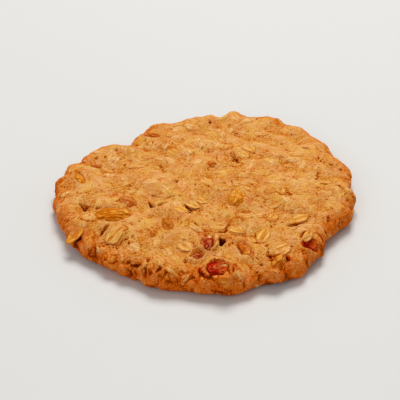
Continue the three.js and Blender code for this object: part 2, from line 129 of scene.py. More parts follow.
Flake = namedtuple("Flake", "angle t long wide turn lift tip bare honey")
CLEAR_FLAKES = [  # x, y, long, wide, turn, lift, tip, how bare of dough, how honey-coloured
    (-37, -37, 10.5, 7.2, 48, 0.5, 6, 0.5, 0.5),
    (32, -44, 9.8, 8, 38, 0.4, 4, 0.5, 0),
    (5, -30, 10, 7.2, 20, 0.1, 3, 0.6, 0),
    (0.8, 1.3, 9.6, 4.4, -62, 0.3, 4, 1.4, 0),
    (25, -36, 9, 5.4, 64, 0.4, 5, 1.0, 0.6),
    (-18, -52.5, 9, 3.6, -60, 0.2, 2, 0.6, 0),
    (20, 31.5, 8.4, 5, -50, 0.3, 3, 1.3, 0.3),
    (41, -1.5, 8.4, 5, 10, 0.2, 2, 0.5, 0),
    (-7.5, -43.5, 8.2, 5.4, -50, 0.4, 4, 0.9, 0),
    (-52.6, -33.2, 9.4, 5.4, 26, 1, -26, 1.0, 0.9),
    (-30, 16.5, 8, 5.8, 22, 0.1, 0, 0.4, 0),
    (13.5, -32.5, 7.8, 5, -38, 0.4, 5, 1.2, 0.3),
    (7.4, 23, 8, 3.4, 95, 0.1, 0, 0.5, 0),
    (41, -20.6, 7.4, 5.6, 14, 1, 10, 0.6, 0.3),
    (17.4, -22.6, 7.2, 5.4, -8, 0.3, 3, 0.7, 0),
    (-48.4, -24, 7.2, 5.6, 84, 0.3, 2, 0.7, 0),
    (-9.5, -20.2, 7.2, 5.8, -42, 0.4, 4, 1.2, 0.8),
    (30, -11.4, 7, 5.4, 12, 0.2, 2, 0.8, 0),
    (17, 26, 7, 5, -40, 0.2, 2, 1.4, 0.3),
    (-51.4, -3.2, 7, 5, 24, 0.1, 0, 0.4, 0),
    (-1.9, -11.2, 7.8, 3.8, -33, 0.4, 3, 1.3, 0),
    (-4.9, -14.6, 8.4, 4.4, -38, 0.6, 5, 1.3, 0),
    (37.4, -13.4, 6.4, 5, 62, 0.2, 2, 0.7, 0),
    (33.2, -2, 6.2, 4.2, 84, 0.2, 2, 0.8, 0),
    (6.6, 39, 6.2, 4, -56, 0.2, 2, 0.5, 0),
    (26.5, 46, 6.4, 3.6, -4, 0.3, 2, 0.9, 0),
    (14, 36.6, 6, 3.6, -34, 0.2, 2, 0.6, 0),
    (-58.4, 13, 6, 4.2, 78, 0.4, 3, 0.5, 0),
    (8.6, 31.8, 5.8, 4.4, 80, 0.1, 0, 0.4, 0),
    (13, 18.6, 6, 3.4, 6, 0.2, 2, 0.6, 0),
    (43, -34.6, 7, 3.9, 70, 0.9, -6, 0.5, 0),
    (29.4, -21.4, 5.4, 4, 82, 0.3, 3, 1.3, 0.5),
    (20, -38.5, 5.2, 3.2, -54, 0.5, 6, 0.9, 0),
    (9, -61, 5.4, 4.4, 4, 0.4, 0, 1.5, 1),
    (51.4, -16, 5.4, 3.4, 100, 0.3, 3, 0.8, 0),
    (64.6, -7.2, 5, 3.6, 80, 1, 8, 0.9, 0.7),
]

HOLES = [  # x, y, long, wide, deep, turn
    (7.6, -40.8, 6, 3, 3.2, 78),
    (38.2, -25.6, 8, 2.4, 1.7, 22),
    (-41.6, -33.6, 7, 2.2, 1.9, 52),
    (-22.3, -15.8, 5, 2.2, 2.4, -58),
    (-18, -15.4, 6, 1.8, 1.8, 38),
    (-51.4, -14.6, 5, 2, 2, -50),
    (-6.4, -20.6, 6, 1.8, 2, -62),
    (14, 22, 6, 1.8, 1.0, -60),
    (12.4, 31.8, 5, 1.6, 1.0, 80),
    (45.8, 35.4, 4, 2.2, 1.8, 24),
    (53, -19.6, 3.6, 1.4, 1.5, -84),
    (8.4, -33.6, 5, 1.8, 1.6, 40),
    (59.4, 4, 6, 1.8, 1.8, -62),
    (-53, -34.2, 5.4, 3, 2.6, 10),
    (-31, -56.5, 5, 3, 2.4, 40),
]

TEARS = [  # width, how dark its painted shade is, and the places that it runs through
    (0.7, 0.95, [(0.2, -55.1), (-1.1, -56.7), (-1.4, -58.4), (-0.4, -60.0), (1.3, -61.0), (3.7, -60.9)]),
    (0.65, 0.95, [(2.3, -53.8), (4.1, -53.4), (6.0, -53.4), (8.3, -54.2), (9.6, -57.2), (10.3, -59.6)]),
    (0.4, 0.9, [(-4.0, -29.3), (-3.0, -30.4), (-2.1, -31.2)]),
    (0.4, 0.9, [(0.6, -29.7), (1.4, -30.2), (2.3, -32.0)]),
    (0.5, 0.8, [(3.0, -33.0), (4.6, -33.1), (7.0, -32.8), (9.0, -30.5), (11.0, -26.9)]),
    (0.5, 0.7, [(0.2, -44.5), (1.1, -47.2), (3.1, -46.9), (5.3, -46.3)]),
    (0.45, 0.6, [(-4.6, -33.6), (-2.2, -35.4), (0.6, -36.2), (3.6, -37.2)]),
    (0.4, 0.6, [(-2.4, -38.6), (0.2, -38.0), (2.6, -38.9)]),
    (0.5, 0.7, [(14.1, -41.6), (14.9, -44.8), (16.8, -47.8), (18.8, -48.8)]),
    (0.6, 0.9, [(40.9, -36.0), (40.8, -33.9), (41.7, -32.0), (43.6, -31.5)]),
    (0.6, 0.85, [(46.2, -30.7), (48.6, -31.4), (50.0, -33.2), (50.2, -35.6)]),
    (0.5, 0.9, [(25.9, -47.7), (27.3, -48.8), (28.5, -50.7)]),
    (0.6, 0.9, [(27.6, -48.2), (30.1, -48.9), (33.8, -49.2), (35.6, -49.4)]),
    (1.3, 0.95, [(33.4, -49.0), (34.8, -49.9)]),
    (0.5, 1.0, [(-8.5, -14.3), (-7.3, -15.8), (-6.0, -17.2), (-5.1, -19.0)]),
    (0.4, 0.8, [(-5.5, -12.4), (-4.3, -13.2), (-3.1, -13.5)]),
    (0.6, 0.6, [(-16.4, -10.9), (-15.0, -9.7), (-12.5, -9.4)]),
    (0.45, 0.7, [(-43.5, -27.0), (-42.3, -28.0), (-39.3, -28.9), (-35.9, -28.9), (-32.9, -28.0)]),
    (0.4, 0.8, [(-31.0, -28.9), (-29.4, -31.2)]),
    (0.45, 0.7, [(50.8, 15.7), (50.1, 13.3), (50.4, 11.0)]),
    (0.6, 0.5, [(-24.3, -7.9), (-20.8, -8.9), (-17.3, -9.9)]),
]

# ---- Sizes of the baked detail ----

METRE = 1000  # millimetres
DOUGH_CELLS = 288  # quads across the dough's grid
SOLE_RINGS = 7
SOLE_HOLLOW = 0.25
SOLE_WAVES = 9
SOLE_MIDDLE = 0.2
PROFILE_STEPS = 600  # to walk down the dough from its pole to its foot
GRAIN = [(7.0, 0.24), (3.4, 0.13), (1.7, 0.06)]  # size and height of the crust's unevenness
FILMED = {"count": 260, "tries": 4, "long": (8.8, 4.4), "slim": (0.45, 0.7), "seed": 41}

CRAGS = [(6.0, 1.3), (3.4, 0.75), (1.8, 0.2)]  # size and height of the crags round the rim
CRAG_RIM = (0.95, 1.7)  # t where they begin and where they are full
CRAG_STRENGTH = {"rim": 0.4, "front": 0.9, "top": 0.15}
CRAG_FRONT = (-128, 42)  # the roughest side and how wide it is, in degrees round the pole
CRAG_BENDS = (6, 1.4)  # size and reach of the bends in their creases
CRAG_ROUND = 0.75  # 1 is sharp-edged, less is rounder
CRAG_MIDDLE = 0.4
CREASE_WIDTH = 0.16
CREASE_PATCHES = 7
CREASE_SPREAD = (-0.3, 0.6)  # noise from where they begin to where they are full

CREVICE_SHADE = {"crag": 0.6, "gap": 0.45}  # how dark the painted shade in creases and in the gaps under raised oats is
HOLLOW_SHADE = [(14, 0.18), (90, 0.108)]  # how widely the crust is averaged, and how dark the painted shade in dips in it is
RIM_BROWNING_AND_SHADE = {"dough": (0.9, 2.2), "oats": (0.8, 1.7), "raisins": (0.8, 1.6)}  # between which t the rim is browned; on the oats and raisins the warmer colour there is also painted warm shade
# Painted light and shade: bumps in the crust are painted paler and dips darker.
BUMP_ROUNDS = 12  # how widely the crust is averaged to tell bumps from dips
BUMP_GAIN = 2.2

Mound = namedtuple("Mound", "height grow gap")
MOUNDS = {  # height, size to the flake's, and how dark the painted shadow in the gap under its raised side is
    "clear": Mound(0.25, 1.15, 1.0),
    "laid": Mound(0.42, 1.05, 0.4),
    "filmed": Mound(0.22, 1.0, 0.0),
}
MOUND_REACH = 1.3  # how far round a flake its mound is worked out, in its lengths
MOUND_RAGGED = (2.2, 0.12)  # size and share of the unevenness of its edge
MOUND_LEAN = 1.1  # how much higher its raised side is
MOUND_LOWEST = 0.05
MOUND_FLAT = 6  # the higher, the flatter it is on top
# The painted shadow in the gap under a mound's raised side.
GAP_SHADOW_PLACE = 1.04
GAP_SHADOW_WIDTH = 0.1
GAP_SHADOW_SIDE = (-0.1, 0.35)  # how far to the raised side it begins, and where it is full
OAT_SHOWN = {"clear": 0.2, "least": 0.1, "bare": 0.9}  # how much oat shows through the film
OAT_LOW_SIDE = 0.4  # how much of that shows on its low side
OAT_BRINK = 0.15  # how far in from its edge it shows fully
NO_OAT = 3.0  # as far from every oat as counts, in half-sizes
FURROW = (0.03, 0.35)  # how much nearer one mound is than the next, in the furrow and off it
GOLDEN_TURN = 2.4  # radians from one flake's raised side to the next one's

Skin = namedtuple("Skin", "pocket lap film juice slot plump creased thin riper")
SKINS = {
    # How deep the gap round the raisin is, how high the dough's laps over its edge are, how much
    # of it is filmed with dough, how far it stains the dough, and the material slot. Then the
    # colours of its plump skin, its creases, its thin bright skin and its riper end.
    "amber": Skin(0.7, 0.5, 0.1, 0.2, "raisin_amber", "#f09c28", "#c46600", "#ffcc5c", "#e88614"),
    "honey": Skin(0.5, 0.5, 0.15, 0.2, "raisin_amber", "#f4a838", "#d47808", "#ffd078", "#ec8c0c"),
    "rosy": Skin(0.6, 0.8, 0.8, 0.9, "raisin_amber", "#dc8430", "#bc5410", "#eeb070", "#d07024"),
    "orange": Skin(0.5, 0.8, 0.3, 0.6, "raisin_amber", "#dc7a1c", "#a84800", "#f0ac54", "#d06410"),
    "buried": Skin(0.3, 0.2, 0.7, 0.5, "raisin_amber", "#cc7418", "#b45808", "#e49c3c", "#d88020"),
    "turning": Skin(0.8, 0.6, 0.15, 0.5, "raisin_dark", "#e08a28", "#b44c00", "#f8b850", "#f0a83c"),
    "red": Skin(1.0, 1.3, 0.1, 0.9, "raisin_dark", "#e8701c", "#940a00", "#f8b05c", "#ec1800"),
    "dark": Skin(0.9, 1.0, 0.1, 0.7, "raisin_dark", "#d86c28", "#981e04", "#f8b878", "#c44818"),
}
FILM_EDGE = (-0.25, 0.35)  # film from where the skin is clear to where it is covered
LOW_SKIN = (1.0, 0.0)  # heights off the crust between which it darkens: painted shade, with juice gathering low down
VEIL = 0.8  # how much more film lies on a raisin's veiled side
POCKET_RAGGED = (0.45, 0.25)  # how ragged the gap's edge is, coarsely and finely
POCKET_EDGE = (-0.15, 0.1)  # levels between which the gap deepens
POCKET_WIDENS = 0.35  # how much farther down a deeper gap begins
WELL_BELOW = 4  # a raisin counts as this far down where it doesn't reach
SEAM_LEVEL = -0.1  # where the dark seam of painted shadow runs: how high the raisin's back is over the crust
SEAM_WIDTH = 0.3
SEAM_DARKEST = 0.75
SEAM_BEHIND = 0.25  # how dark the painted shadow is behind the raisin, to what it is in front
SEAM_TURNS = (-0.3, 0.7)  # how far in front of the raisin's middle it darkens
SEAM_BREAKS = (-0.9, 0.1)  # noise from where it is broken to where it is whole
JUICE_REACH = 1.6  # how far below its skin a raisin stains the dough
FILM_PATCHES = [(2.8, 0.45), (1.1, 0.225)]  # size and share
LAP_PLACE = 0.92  # how far out the laps lie, in a raisin's half-sizes
LAP_WIDTH = 0.3
LAP_SIZE = 3.6
LAP_SPREAD = (-0.15, 0.45)  # noise from where there is none to where it is whole
RAISIN_SWELL = 1.08  # how much wider a raisin's skin is than its size, wrinkles and all
RAISIN_FLARE = (1.12, 1.12, 1.04)  # along, across and up, before the wrinkles draw it in
LONG_RAISIN = 14  # longer ones are wrinkled from end to end
LARGE_RAISIN = 8  # longer ones have a finer mesh
WRINKLE_SIZE = 2.0
FINE_WRINKLE_SIZE = 0.85
WRINKLE_BENDS = (3.2, 0.35)  # size and reach of the bends in them
WRINKLE_DRAWN = {"long": 0.14, "short": 0.4, "fine": 0.3}  # the less, the more drawn out they are
RAISIN_LUMPS = 4.5
WRINKLE_ROUND = 0.7  # 1 is sharp-edged, less is rounder
FINE_WRINKLE_ROUND = 0.8
# What makes a raisin's skin stand out, and what makes it creased.
SKIN_SWELL = {"middle": 0.92, "wrinkle": 0.12, "fine": 0.03, "lumps": 0.1, "sunk": 0.7}
SKIN_CREASE = {"middle": 1.1, "wrinkle": 1.2, "fine": 0.4, "sunk": 0.8}
RIPE_PATCHES = (3, 0.5)
BALL_DETAIL = {"large": 6, "small": 5, "crumb": 2}
HOLLOWED = ("raisin_front", "raisin_east")  # sunk in the middle, with folds in rings
HOLLOW = {"deep": 0.2, "wide": 0.4, "off": 0.1, "wander": 0.12, "waves": 2.4}
RING_FOLDS = [(0.4, 0.05), (0.66, 0.06), (0.86, 0.07)]  # how far out and how wide
STUCK_CRUMBS = {"raisin_front": (0.3, 0.0, 0.3, 0.3)}  # along, across, half of how long and wide
STUCK_FILM = 1.4
PAINTED_GLINTS = {  # painted highlights: along, across, and half of how long and how wide
    "raisin_middle": (-0.05, 0.3, 0.5, 0.07),
    "raisin_torn": (0.4, 0.0, 0.25, 0.2),
    "raisin_front": (0.35, 0.15, 0.35, 0.13),
    "raisin_west": (0.35, 0.2, 0.6, 0.06),
}

STAINS = [  # x, y, across, how strong
    (-38.8, -6.8, 4, 0.7),
    (19, -11.2, 4.4, 0.6),
    (-0.5, -37.6, 5.5, 0.8),
    (17.4, -38, 4.5, 0.5),
    # This one is painted shade under the flake that sticks out of the left rim.
    (-52, -35, 7, 0.9),
    (34, -49.4, 5, 1.0),
    (-0.4, -58, 6, 0.9),
    (12.2, -57, 5, 0.8),
    (27.2, -49.2, 3.4, 0.8),
]
STAIN_RAGGED = 0.3
STAIN_EDGE = (0.4, 1.2)  # where it begins to fade and where it is gone, in its half-sizes
RAGGED = 3.2  # size of the waves in the edges of what is torn
FINE_RAGGED = 1.2
EDGE_REACH = 1.2  # farther from its middle, in its sizes, no stain or hole goes
HOLE_CORNERS = 0.22  # how far its three corners stand out
HOLE_RAGGED = (0.2, 0.12)
HOLE_EDGE = (0.5, 1.0)  # where its wall begins and ends, in its half-sizes
HOLE_SHADE = (0.65, 1.0)  # where its darkness begins to fade and where it is gone
DARK_HOLE = 2.6  # a hole this deep is painted quite dark inside, as shade
TEAR_DEPTH = 0.9
TEAR_TAPER = 0.35  # how wide its ends are, to its middle
TEAR_RAGGED = 0.5
TEAR_REACH = 9  # farther from its middle no tear goes
PITS = [  # x, y, across
    (-45, 24, 1.1), (-40, 29, 1.0), (-44, 6.5, 0.9), (-49, -0.8, 0.9), (-42, 11.5, 0.9),
    (-31.5, 36.5, 1.2), (-28, 38.5, 0.9), (-24, 36, 0.9), (-49, 24.5, 1.3), (-17, 18.8, 0.8),
    (-19.5, 16.2, 0.8), (-8.5, 14.8, 0.8), (-7, 17, 0.8), (-1.5, 30.8, 0.9), (-12, 2.5, 1.0),
    (-4, -0.7, 1.0), (2, 55.5, 1.3), (14.5, 47, 0.9), (38.5, 30.5, 0.8), (51.5, 27, 1.1),
    (56.5, 21.5, 1.1), (49.5, 10.5, 1.1), (53.5, 6, 1.2), (37, 9.2, 0.8), (39, 9.5, 0.8),
    (29, 11, 0.8), (8.5, 1.2, 1.0), (12, 3, 0.9), (21, 1.5, 0.9), (35, 5, 0.9), (24, 18, 0.9),
    (-32, -39, 1.4), (-29.5, -38.5, 1.0), (-17, -44, 1.1), (-8, -40, 1.0), (-5, -15.5, 1.0),
    (-52, -20.5, 0.9), (-45.3, -18, 1.1), (-36, -43, 0.9), (4.5, -25, 0.9), (10.5, -28.5, 1.0),
    (-27.4, -53.8, 1.5), (-22.3, -52.8, 1.3), (-17.5, -57.3, 1.4), (-23.2, -56.4, 1.3),
    (-20.9, -57.4, 1.5), (-30.7, -41.7, 1.0), (-30.6, -51.9, 1.2), (-14.9, -58.9, 1.2),
    (-10.4, -43.5, 0.9), (-7, -52.1, 0.9), (12.1, -58.2, 1.0), (24, -53, 1.0), (36.6, -40.6, 0.9),
    (12, -41, 1.1), (24.5, -14, 1.1), (22, -50, 0.9), (26, -42.5, 1.0), (38.5, -43.5, 0.9),
]
PIT_DEPTH = 1.0
# how dark the painted shade in a pit is
PIT_DARK = 0.85
PIT_RAGGED = 0.3
PIT_EDGE = (0.3, 1.1)
PIT_SHAPE = (2.1, 1.15)  # how long and how wide a pit's ragged outline is, to its size
PIT_REACH = 2.6  # farther from its middle, in its sizes, no pit goes
SMALL_PITS = {"count": 260, "across": (0.4, 0.9), "seed": 301}

FLAKE_CELLS = 16
FLAKE_THICK = 0.42
FLAKE_DOME = 0.1  # how far a flake's middle stands above its edge
FLAKE_WARP = (3.5, 0.16)  # size and height of the waves in it
FLAKE_RAGGED = (0.55, 0.15)  # size and share of the unevenness of its edge
FLAKE_BLUNT = 0.2  # how much its ends are drawn in
FLAKE_RIDGES = (1.1, 2.1)  # spacing of the ridges along its back
RIDGE_HEIGHT = 0.1
RIDGE_SPREAD = 0.35  # how much the ridges spread from the tips to the middle
RIDGE_WANDER = (3.4, 0.4)
RIDGE_STRENGTH = 0.55  # the rest comes and goes in patches
RIDGE_PATCHES = 4  # size of the patches where they are strong
SPLIT_DEPTH = 0.14  # the split down the middle of its back
SPLIT_WIDTH = 0.35
SPLIT_ENDS = (0.05, 0.4)  # how far in from the edge it begins, and where it is full
# how dark the split is painted, as shade in it
SPLIT_DARK = 0.7
FLAKE_EDGE = 8  # the higher, the blunter its edge is
RIDGE_EDGE = 6  # the higher, the nearer the ridges run to the edge
FLAKE_BRINK_SHADE = (0.82, 1.0)  # where the painted warm shade on its brink begins and ends; its underside is painted so all over
FLAKE_SINK = 0.34
FLAKE_LOWEST = 0.4  # no part of a flake lies lower
DRAPE = 0.7  # how far a flake follows the crust that it lies on
STIFF_TIP = 15  # degrees of tip past which a flake sticks out straight
RING_SLICE = 3.7  # these keep one flake's noise apart from the next one's
BACK_SLICE = 5.1
FLAKE_SLICE = 13
FLAKE_FILM = [(2.4, 0.35), (1.0, 0.175)]  # size and height of the patches of film on it
FILM_DEPTH = 0.5  # of the film on a flake that is not bare, and from film to no film
CRUMBS = {"count": 320, "size": (0.35, 1.0), "chipped": (0.5, 1), "lowest": 1.9, "seed": 503}
CRUMB_LIFT = 0.1  # to its size
CRUMB_SHAPE = np.array([1, 0.8, 0.55])
CRUMB_LUMPS = (0.9, 0.35)  # size, to the crumb's, and height

SEEDS = {  # of the noise in each thing
    "grain": 0,
    "crag bends": 31,
    "crags": 35,
    "crag creases": 39,
    "mounds": 61,
    "ragged": 81,
    "fine": 82,
    "laps": 83,
    "sole": 91,
    "flakes": 100,
    "flake film": 111,
    "raisin bends": 121,
    "wrinkles": 124,
    "fine wrinkles": 125,
    "raisin lumps": 126,
    "ring folds": 127,
    "raisin film": 131,
    "ripeness": 133,
    "crumbs": 141,
}

# ---- Seeded draws and noise ----


class Draws:
    """Draws from 0 to 1, the same ones that the solids are made with."""

    factor = 1664525
    step = 1013904223
    span = 2**32

    def __init__(self, seed):
        self.state = seed

    def __call__(self):
        self.state = (self.state * self.factor + self.step) % self.span
        return self.state / self.span

    def between(self, low, high):
        return low + (high - low) * self()


EDGES = np.array(
    [(0, a, b) for a in (-1, 1) for b in (-1, 1)]
    + [(a, 0, b) for a in (-1, 1) for b in (-1, 1)]
    + [(a, b, 0) for a in (-1, 1) for b in (-1, 1)],
    float,
)
PRIMES = np.array([73856093, 19349663, 83492791])
SEED_PRIME = 7919
SCRAMBLE = 1274126177
POSITIVE = 0x7FFFFFFF
NOISE_GAIN = 1.5


def noise(points, size, seed):
    """Smooth noise, from about -1 to 1, whose bumps are about size apart."""
    place = points / size
    cell = np.floor(place).astype(np.int64)
    part = place - cell
    ease = part**3 * (part * (part * 6 - 15) + 10)
    total = np.zeros(len(points))
    for corner in np.ndindex(2, 2, 2):
        mark = ((cell + corner) * PRIMES).sum(axis=1) + seed * SEED_PRIME
        mark = ((mark ^ (mark >> 13)) * SCRAMBLE) & POSITIVE
        slope = EDGES[(mark >> 8) % len(EDGES)]
        weight = np.where(corner, ease, 1 - ease).prod(axis=1)
        total += weight * (slope * (part - corner)).sum(axis=1)
    return total * NOISE_GAIN


def bends(points, size, seed):
    """Three noises, to move points by."""
    return np.stack([noise(points, size, seed + axis) for axis in range(3)], -1)


def patches(points, sizes, seed):
    """Noise of several sizes, each with its own strength."""
    rise = np.zeros(len(points))
    for number, (size, strength) in enumerate(sizes):
        rise += strength * noise(points, size, seed + number)
    return rise


def ramp(value, low, high):
    """0 at low, 1 at high and smooth between."""
    share = np.clip((value - low) / (high - low), 0, 1)
    return share * share * (3 - 2 * share)


# ---- The smooth body of the dough, as in the solids ----


def degrees_from(angle, at):
    """How many degrees round the pole an angle lies from a place, from -180 to 180."""
    return (np.degrees(angle) - at + 540) % 360 - 180


def rim_reach(angle):
    reach = np.full_like(angle, RIM_REACH)
    for at, lobe, spread in RIM_LOBES:
        reach = reach + lobe * np.exp(-((degrees_from(angle, at) / spread) ** 2))
    return reach


def body(angle, t):
    """Points and outward directions.

    t goes from 0 to 1 over the top, on to 2 down the shoulder and to 3 under the belly.
    """
    rim = rim_reach(angle)
    lean = np.clip(t - 1, 0, 1) * math.pi / 2
    under = np.clip(t - 2, 0, 1) * math.pi / 2
    shoulder_reach = rim - SHOULDER_ROUND * (1 - np.sin(lean))
    under_reach = rim - FOOT_TUCK * (1 - np.cos(under))
    side_reach = np.where(t <= 2, shoulder_reach, under_reach)
    reach = np.where(t <= 1, t * (rim - SHOULDER_ROUND), side_reach)
    top = SHOULDER_HEIGHT + (CROWN_HEIGHT - SHOULDER_HEIGHT) * (1 - t * t)
    side = BELLY_HEIGHT + (SHOULDER_HEIGHT - BELLY_HEIGHT) * np.cos(lean)
    height = np.where(t <= 1, top, np.where(t <= 2, side, BELLY_HEIGHT * (1 - np.sin(under))))
    facing = [np.sin(lean) * np.cos(angle), np.sin(lean) * np.sin(angle), np.cos(lean)]
    points = np.stack([reach * np.cos(angle), reach * np.sin(angle), height], -1)
    return points, np.stack(facing, -1)


def body_point(angle, t):
    """One point and its outward direction."""
    points, out = body(np.array([angle]), np.array([t]))
    return points[0], out[0]


def plan_to_skin(x, y):
    """The angle and t over a place on the plan, on the top or the shoulder."""
    angle = np.arctan2(y, x)
    flat = rim_reach(angle) - SHOULDER_ROUND
    reach = np.hypot(x, y)
    share = np.clip((reach - flat) / SHOULDER_ROUND, 0, 1)
    return angle, np.where(reach <= flat, reach / flat, 1 + np.arcsin(share) * 2 / math.pi)


def place_on_skin(x, y):
    """The same for one place."""
    angle, t = plan_to_skin(np.array([float(x)]), np.array([float(y)]))
    return angle[0], t[0]


def make_swells():
    draw = Draws(SWELLS["seed"])
    waves = []
    for i in range(SWELLS["count"]):
        share = i / (SWELLS["count"] - 1)
        length = SWELLS["longest"] * (SWELLS["shortest"] / SWELLS["longest"]) ** share
        heading = draw() * 2 * math.pi
        climb = (draw() - 0.5) * SWELLS["climb"]
        along = np.array([math.cos(heading), math.sin(heading), climb]) * 2 * math.pi / length
        height = SWELLS["height"] * (length / SWELLS["longest"]) ** 0.5
        waves.append((along, draw() * 2 * math.pi, height))
    return waves


def make_knobs():
    draw = Draws(KNOBS["seed"])
    knobs = []
    for i in range(KNOBS["count"]):
        angle = (i + KNOBS["stagger"] * draw()) / KNOBS["count"] * 2 * math.pi
        t = draw.between(*KNOBS["t"])
        width = draw.between(*KNOBS["width"])
        height = draw.between(*KNOBS["height"])
        knobs.append((body_point(angle, t)[0], width, height))
    for x, y, width, height in LUMPS:
        knobs.append((body_point(*place_on_skin(x, y))[0], width, height))
    return knobs


def turned(x, y, turn):
    """A place on the plan, along and across a piece that is turned by so many degrees."""
    cos, sin = math.cos(math.radians(turn)), math.sin(math.radians(turn))
    return x * cos + y * sin, y * cos - x * sin


def oval_distance(points, x, y, long, wide, turn):
    """How far points lie from the middle of an oval on the plan, in its half-sizes."""
    along, across = turned(points[:, 0] - x, points[:, 1] - y, turn)
    return np.hypot(along / (long / 2), across / (wide / 2))


def raisin_distance(points, raisin):
    return oval_distance(points, raisin.x, raisin.y, raisin.long, raisin.wide, raisin.turn)


SWELL_WAVES = make_swells()
RIM_KNOBS = make_knobs()


def soft_relief(points):
    """The solids' relief with the crust's unevenness: what flakes, raisins and crumbs lie on."""
    rise = np.zeros(len(points))
    for along, phase, height in SWELL_WAVES:
        rise += height * np.sin(points @ along + phase)
    for middle, width, height in RIM_KNOBS:
        rise += height * np.exp(-((points - middle) ** 2).sum(axis=1) / width**2)
    for raisin in RAISINS.values():
        off = (raisin_distance(points, raisin) - LIP_PLACE) / LIP_WIDTH
        rise += raisin.lip * np.exp(-off * off)
    return rise + patches(points, GRAIN, SEEDS["grain"])


def clearance(points):
    """How far points stand off the crust."""
    base, out = body(*plan_to_skin(points[:, 0], points[:, 1]))
    return ((points - base) * out).sum(axis=1) - soft_relief(base)


def seat(angle, t, turn, lift, tip):
    """The middle of a piece that lies on the crust, and its length, width and back as columns."""
    point, out = body_point(angle, t)
    middle = point + out * (soft_relief(point[None])[0] + lift)
    lean = Vector((0, 0, 1)).rotation_difference(Vector(out)).to_matrix()
    lie = Matrix.Rotation(math.radians(turn), 3, "Z") @ Matrix.Rotation(-math.radians(tip), 3, "Y")
    return middle, np.array(lean @ lie)


# ---- Where the oats lie ----


def is_clear(middle, reach):
    """Whether a flake at middle is clear of the raisins and the holes."""
    for raisin in RAISINS.values():
        room = raisin.long / 2 + reach * CLEAR_OF_RAISINS
        if math.hypot(middle[0] - raisin.x, middle[1] - raisin.y) <= room:
            return False
    for x, y, long, *_ in HOLES:
        room = long / 2 + reach * CLEAR_OF_HOLES
        if math.hypot(middle[0] - x, middle[1] - y) <= room:
            return False
    return True


def draw_place(draw):
    """A place drawn evenly over the top and the shoulder."""
    angle = draw() * 2 * math.pi
    pick = draw()
    if pick < TOP_SHARE:
        return angle, math.sqrt(pick / TOP_SHARE)
    return angle, 1 + SHOULDER_SPAN * (pick - TOP_SHARE) / (1 - TOP_SHARE)


def best_place(draw, tries, middles, reach):
    """The draw that lies furthest from the pieces laid so far, and its middle."""
    best = None
    for _ in range(tries):
        angle, t = draw_place(draw)
        middle = body_point(angle, t)[0]
        room = np.linalg.norm(np.array(middles) - middle, axis=1).min()
        score = room if is_clear(middle, reach) else room - BLOCKED
        if best is None or score > best[0]:
            best = (score, angle, t, middle)
    return best[1:]


def lay_flakes():
    """The solids' flakes: first the clear ones, then the best of a few draws for each other one."""
    draw = Draws(FLAKES["seed"])
    flakes, middles = [], []
    for x, y, long, wide, turn, lift, tip, bare, honey in CLEAR_FLAKES:
        angle, t = place_on_skin(x, y)
        flakes.append(Flake(angle, t, long, wide, turn, lift, tip, bare, honey))
        middles.append(body_point(angle, t)[0])
    spare = FLAKES["total"] - len(CLEAR_FLAKES)
    for i in range(spare):
        first, last = FLAKES["long"]
        long = first + (last - first) * i / (spare - 1)
        angle, t, middle = best_place(draw, FLAKES["tries"], middles, long / 2)
        middles.append(middle)
        wide = long * draw.between(*FLAKES["slim"])
        turn = draw() * 360
        lift = draw.between(*FLAKES["lift"])
        tip = (draw() - 0.5) * 2 * FLAKES["tilt"]
        bare = FLAKES["bare"][i % len(FLAKES["bare"])]
        flakes.append(Flake(angle, t, long, wide, turn, lift, tip, bare, 0))
    return flakes, middles


def lay_filmed_flakes(middles):
    """More flakes, that only show as mounds under the film of dough."""
    draw = Draws(FILMED["seed"])
    flakes, middles = [], list(middles)
    for i in range(FILMED["count"]):
        first, last = FILMED["long"]
        long = first + (last - first) * i / (FILMED["count"] - 1)
        angle, t, middle = best_place(draw, FILMED["tries"], middles, long / 2)
        middles.append(middle)
        wide = long * draw.between(*FILMED["slim"])
        flakes.append(Flake(angle, t, long, wide, draw() * 360, 0.0, 0.0, draw(), 0))
    return flakes


FLAKES_LAID, FLAKE_MIDDLES = lay_flakes()
FILMED_FLAKES = lay_filmed_flakes(FLAKE_MIDDLES)


def leaf_place(flake, points, middle, axes):
    """How far along and across a flake points lie, and their distance in leaf half-sizes."""
    along, across, _ = ((points - middle) @ axes).T
    narrow = 1 - POINTED * np.clip(along / (flake.long / 2), -1, 1)
    distance = np.hypot(along / (flake.long / 2), across / (flake.wide / 2 * narrow))
    return along, across, distance


# ---- Grids bent into discs ----


def disc_grid(cells):
    """The angle and the reach, from 0 to 1, of each corner of a square grid bent into a disc."""
    side = np.linspace(-1, 1, cells + 1)
    across, up = np.meshgrid(side, side)
    wide = abs(across) > abs(up)
    radius = np.where(wide, across, up)
    safe = np.where(radius == 0, 1, radius)
    eighth = math.pi / 4
    angle = np.where(wide, eighth * up / safe, 2 * eighth - eighth * across / safe)
    x, y = radius * np.cos(angle), radius * np.sin(angle)
    return np.arctan2(y, x).ravel(), np.hypot(x, y).ravel()


def disc_quads(cells):
    corner = np.arange((cells + 1) ** 2).reshape(cells + 1, cells + 1)
    quads = [corner[:-1, :-1], corner[:-1, 1:], corner[1:, 1:], corner[1:, :-1]]
    return np.stack(quads, -1).reshape(-1, 4)


def disc_edge(cells):
    """The corners on the disc's edge, anticlockwise."""
    corner = np.arange((cells + 1) ** 2).reshape(cells + 1, cells + 1)
    return np.concatenate([corner[0, :-1], corner[:-1, -1], corner[-1, :0:-1], corner[:0:-1, 0]])


def spread_out(field, rounds):
    """A field on the dough's grid, averaged with its neighbours a few times over."""
    grid = field.reshape(DOUGH_CELLS + 1, DOUGH_CELLS + 1)
    for _ in range(rounds):
        wide = np.pad(grid, 1, mode="edge")
        grid = (wide[:-2, 1:-1] + wide[2:, 1:-1] + wide[1:-1, :-2] + wide[1:-1, 2:]) / 4
    return grid.ravel()


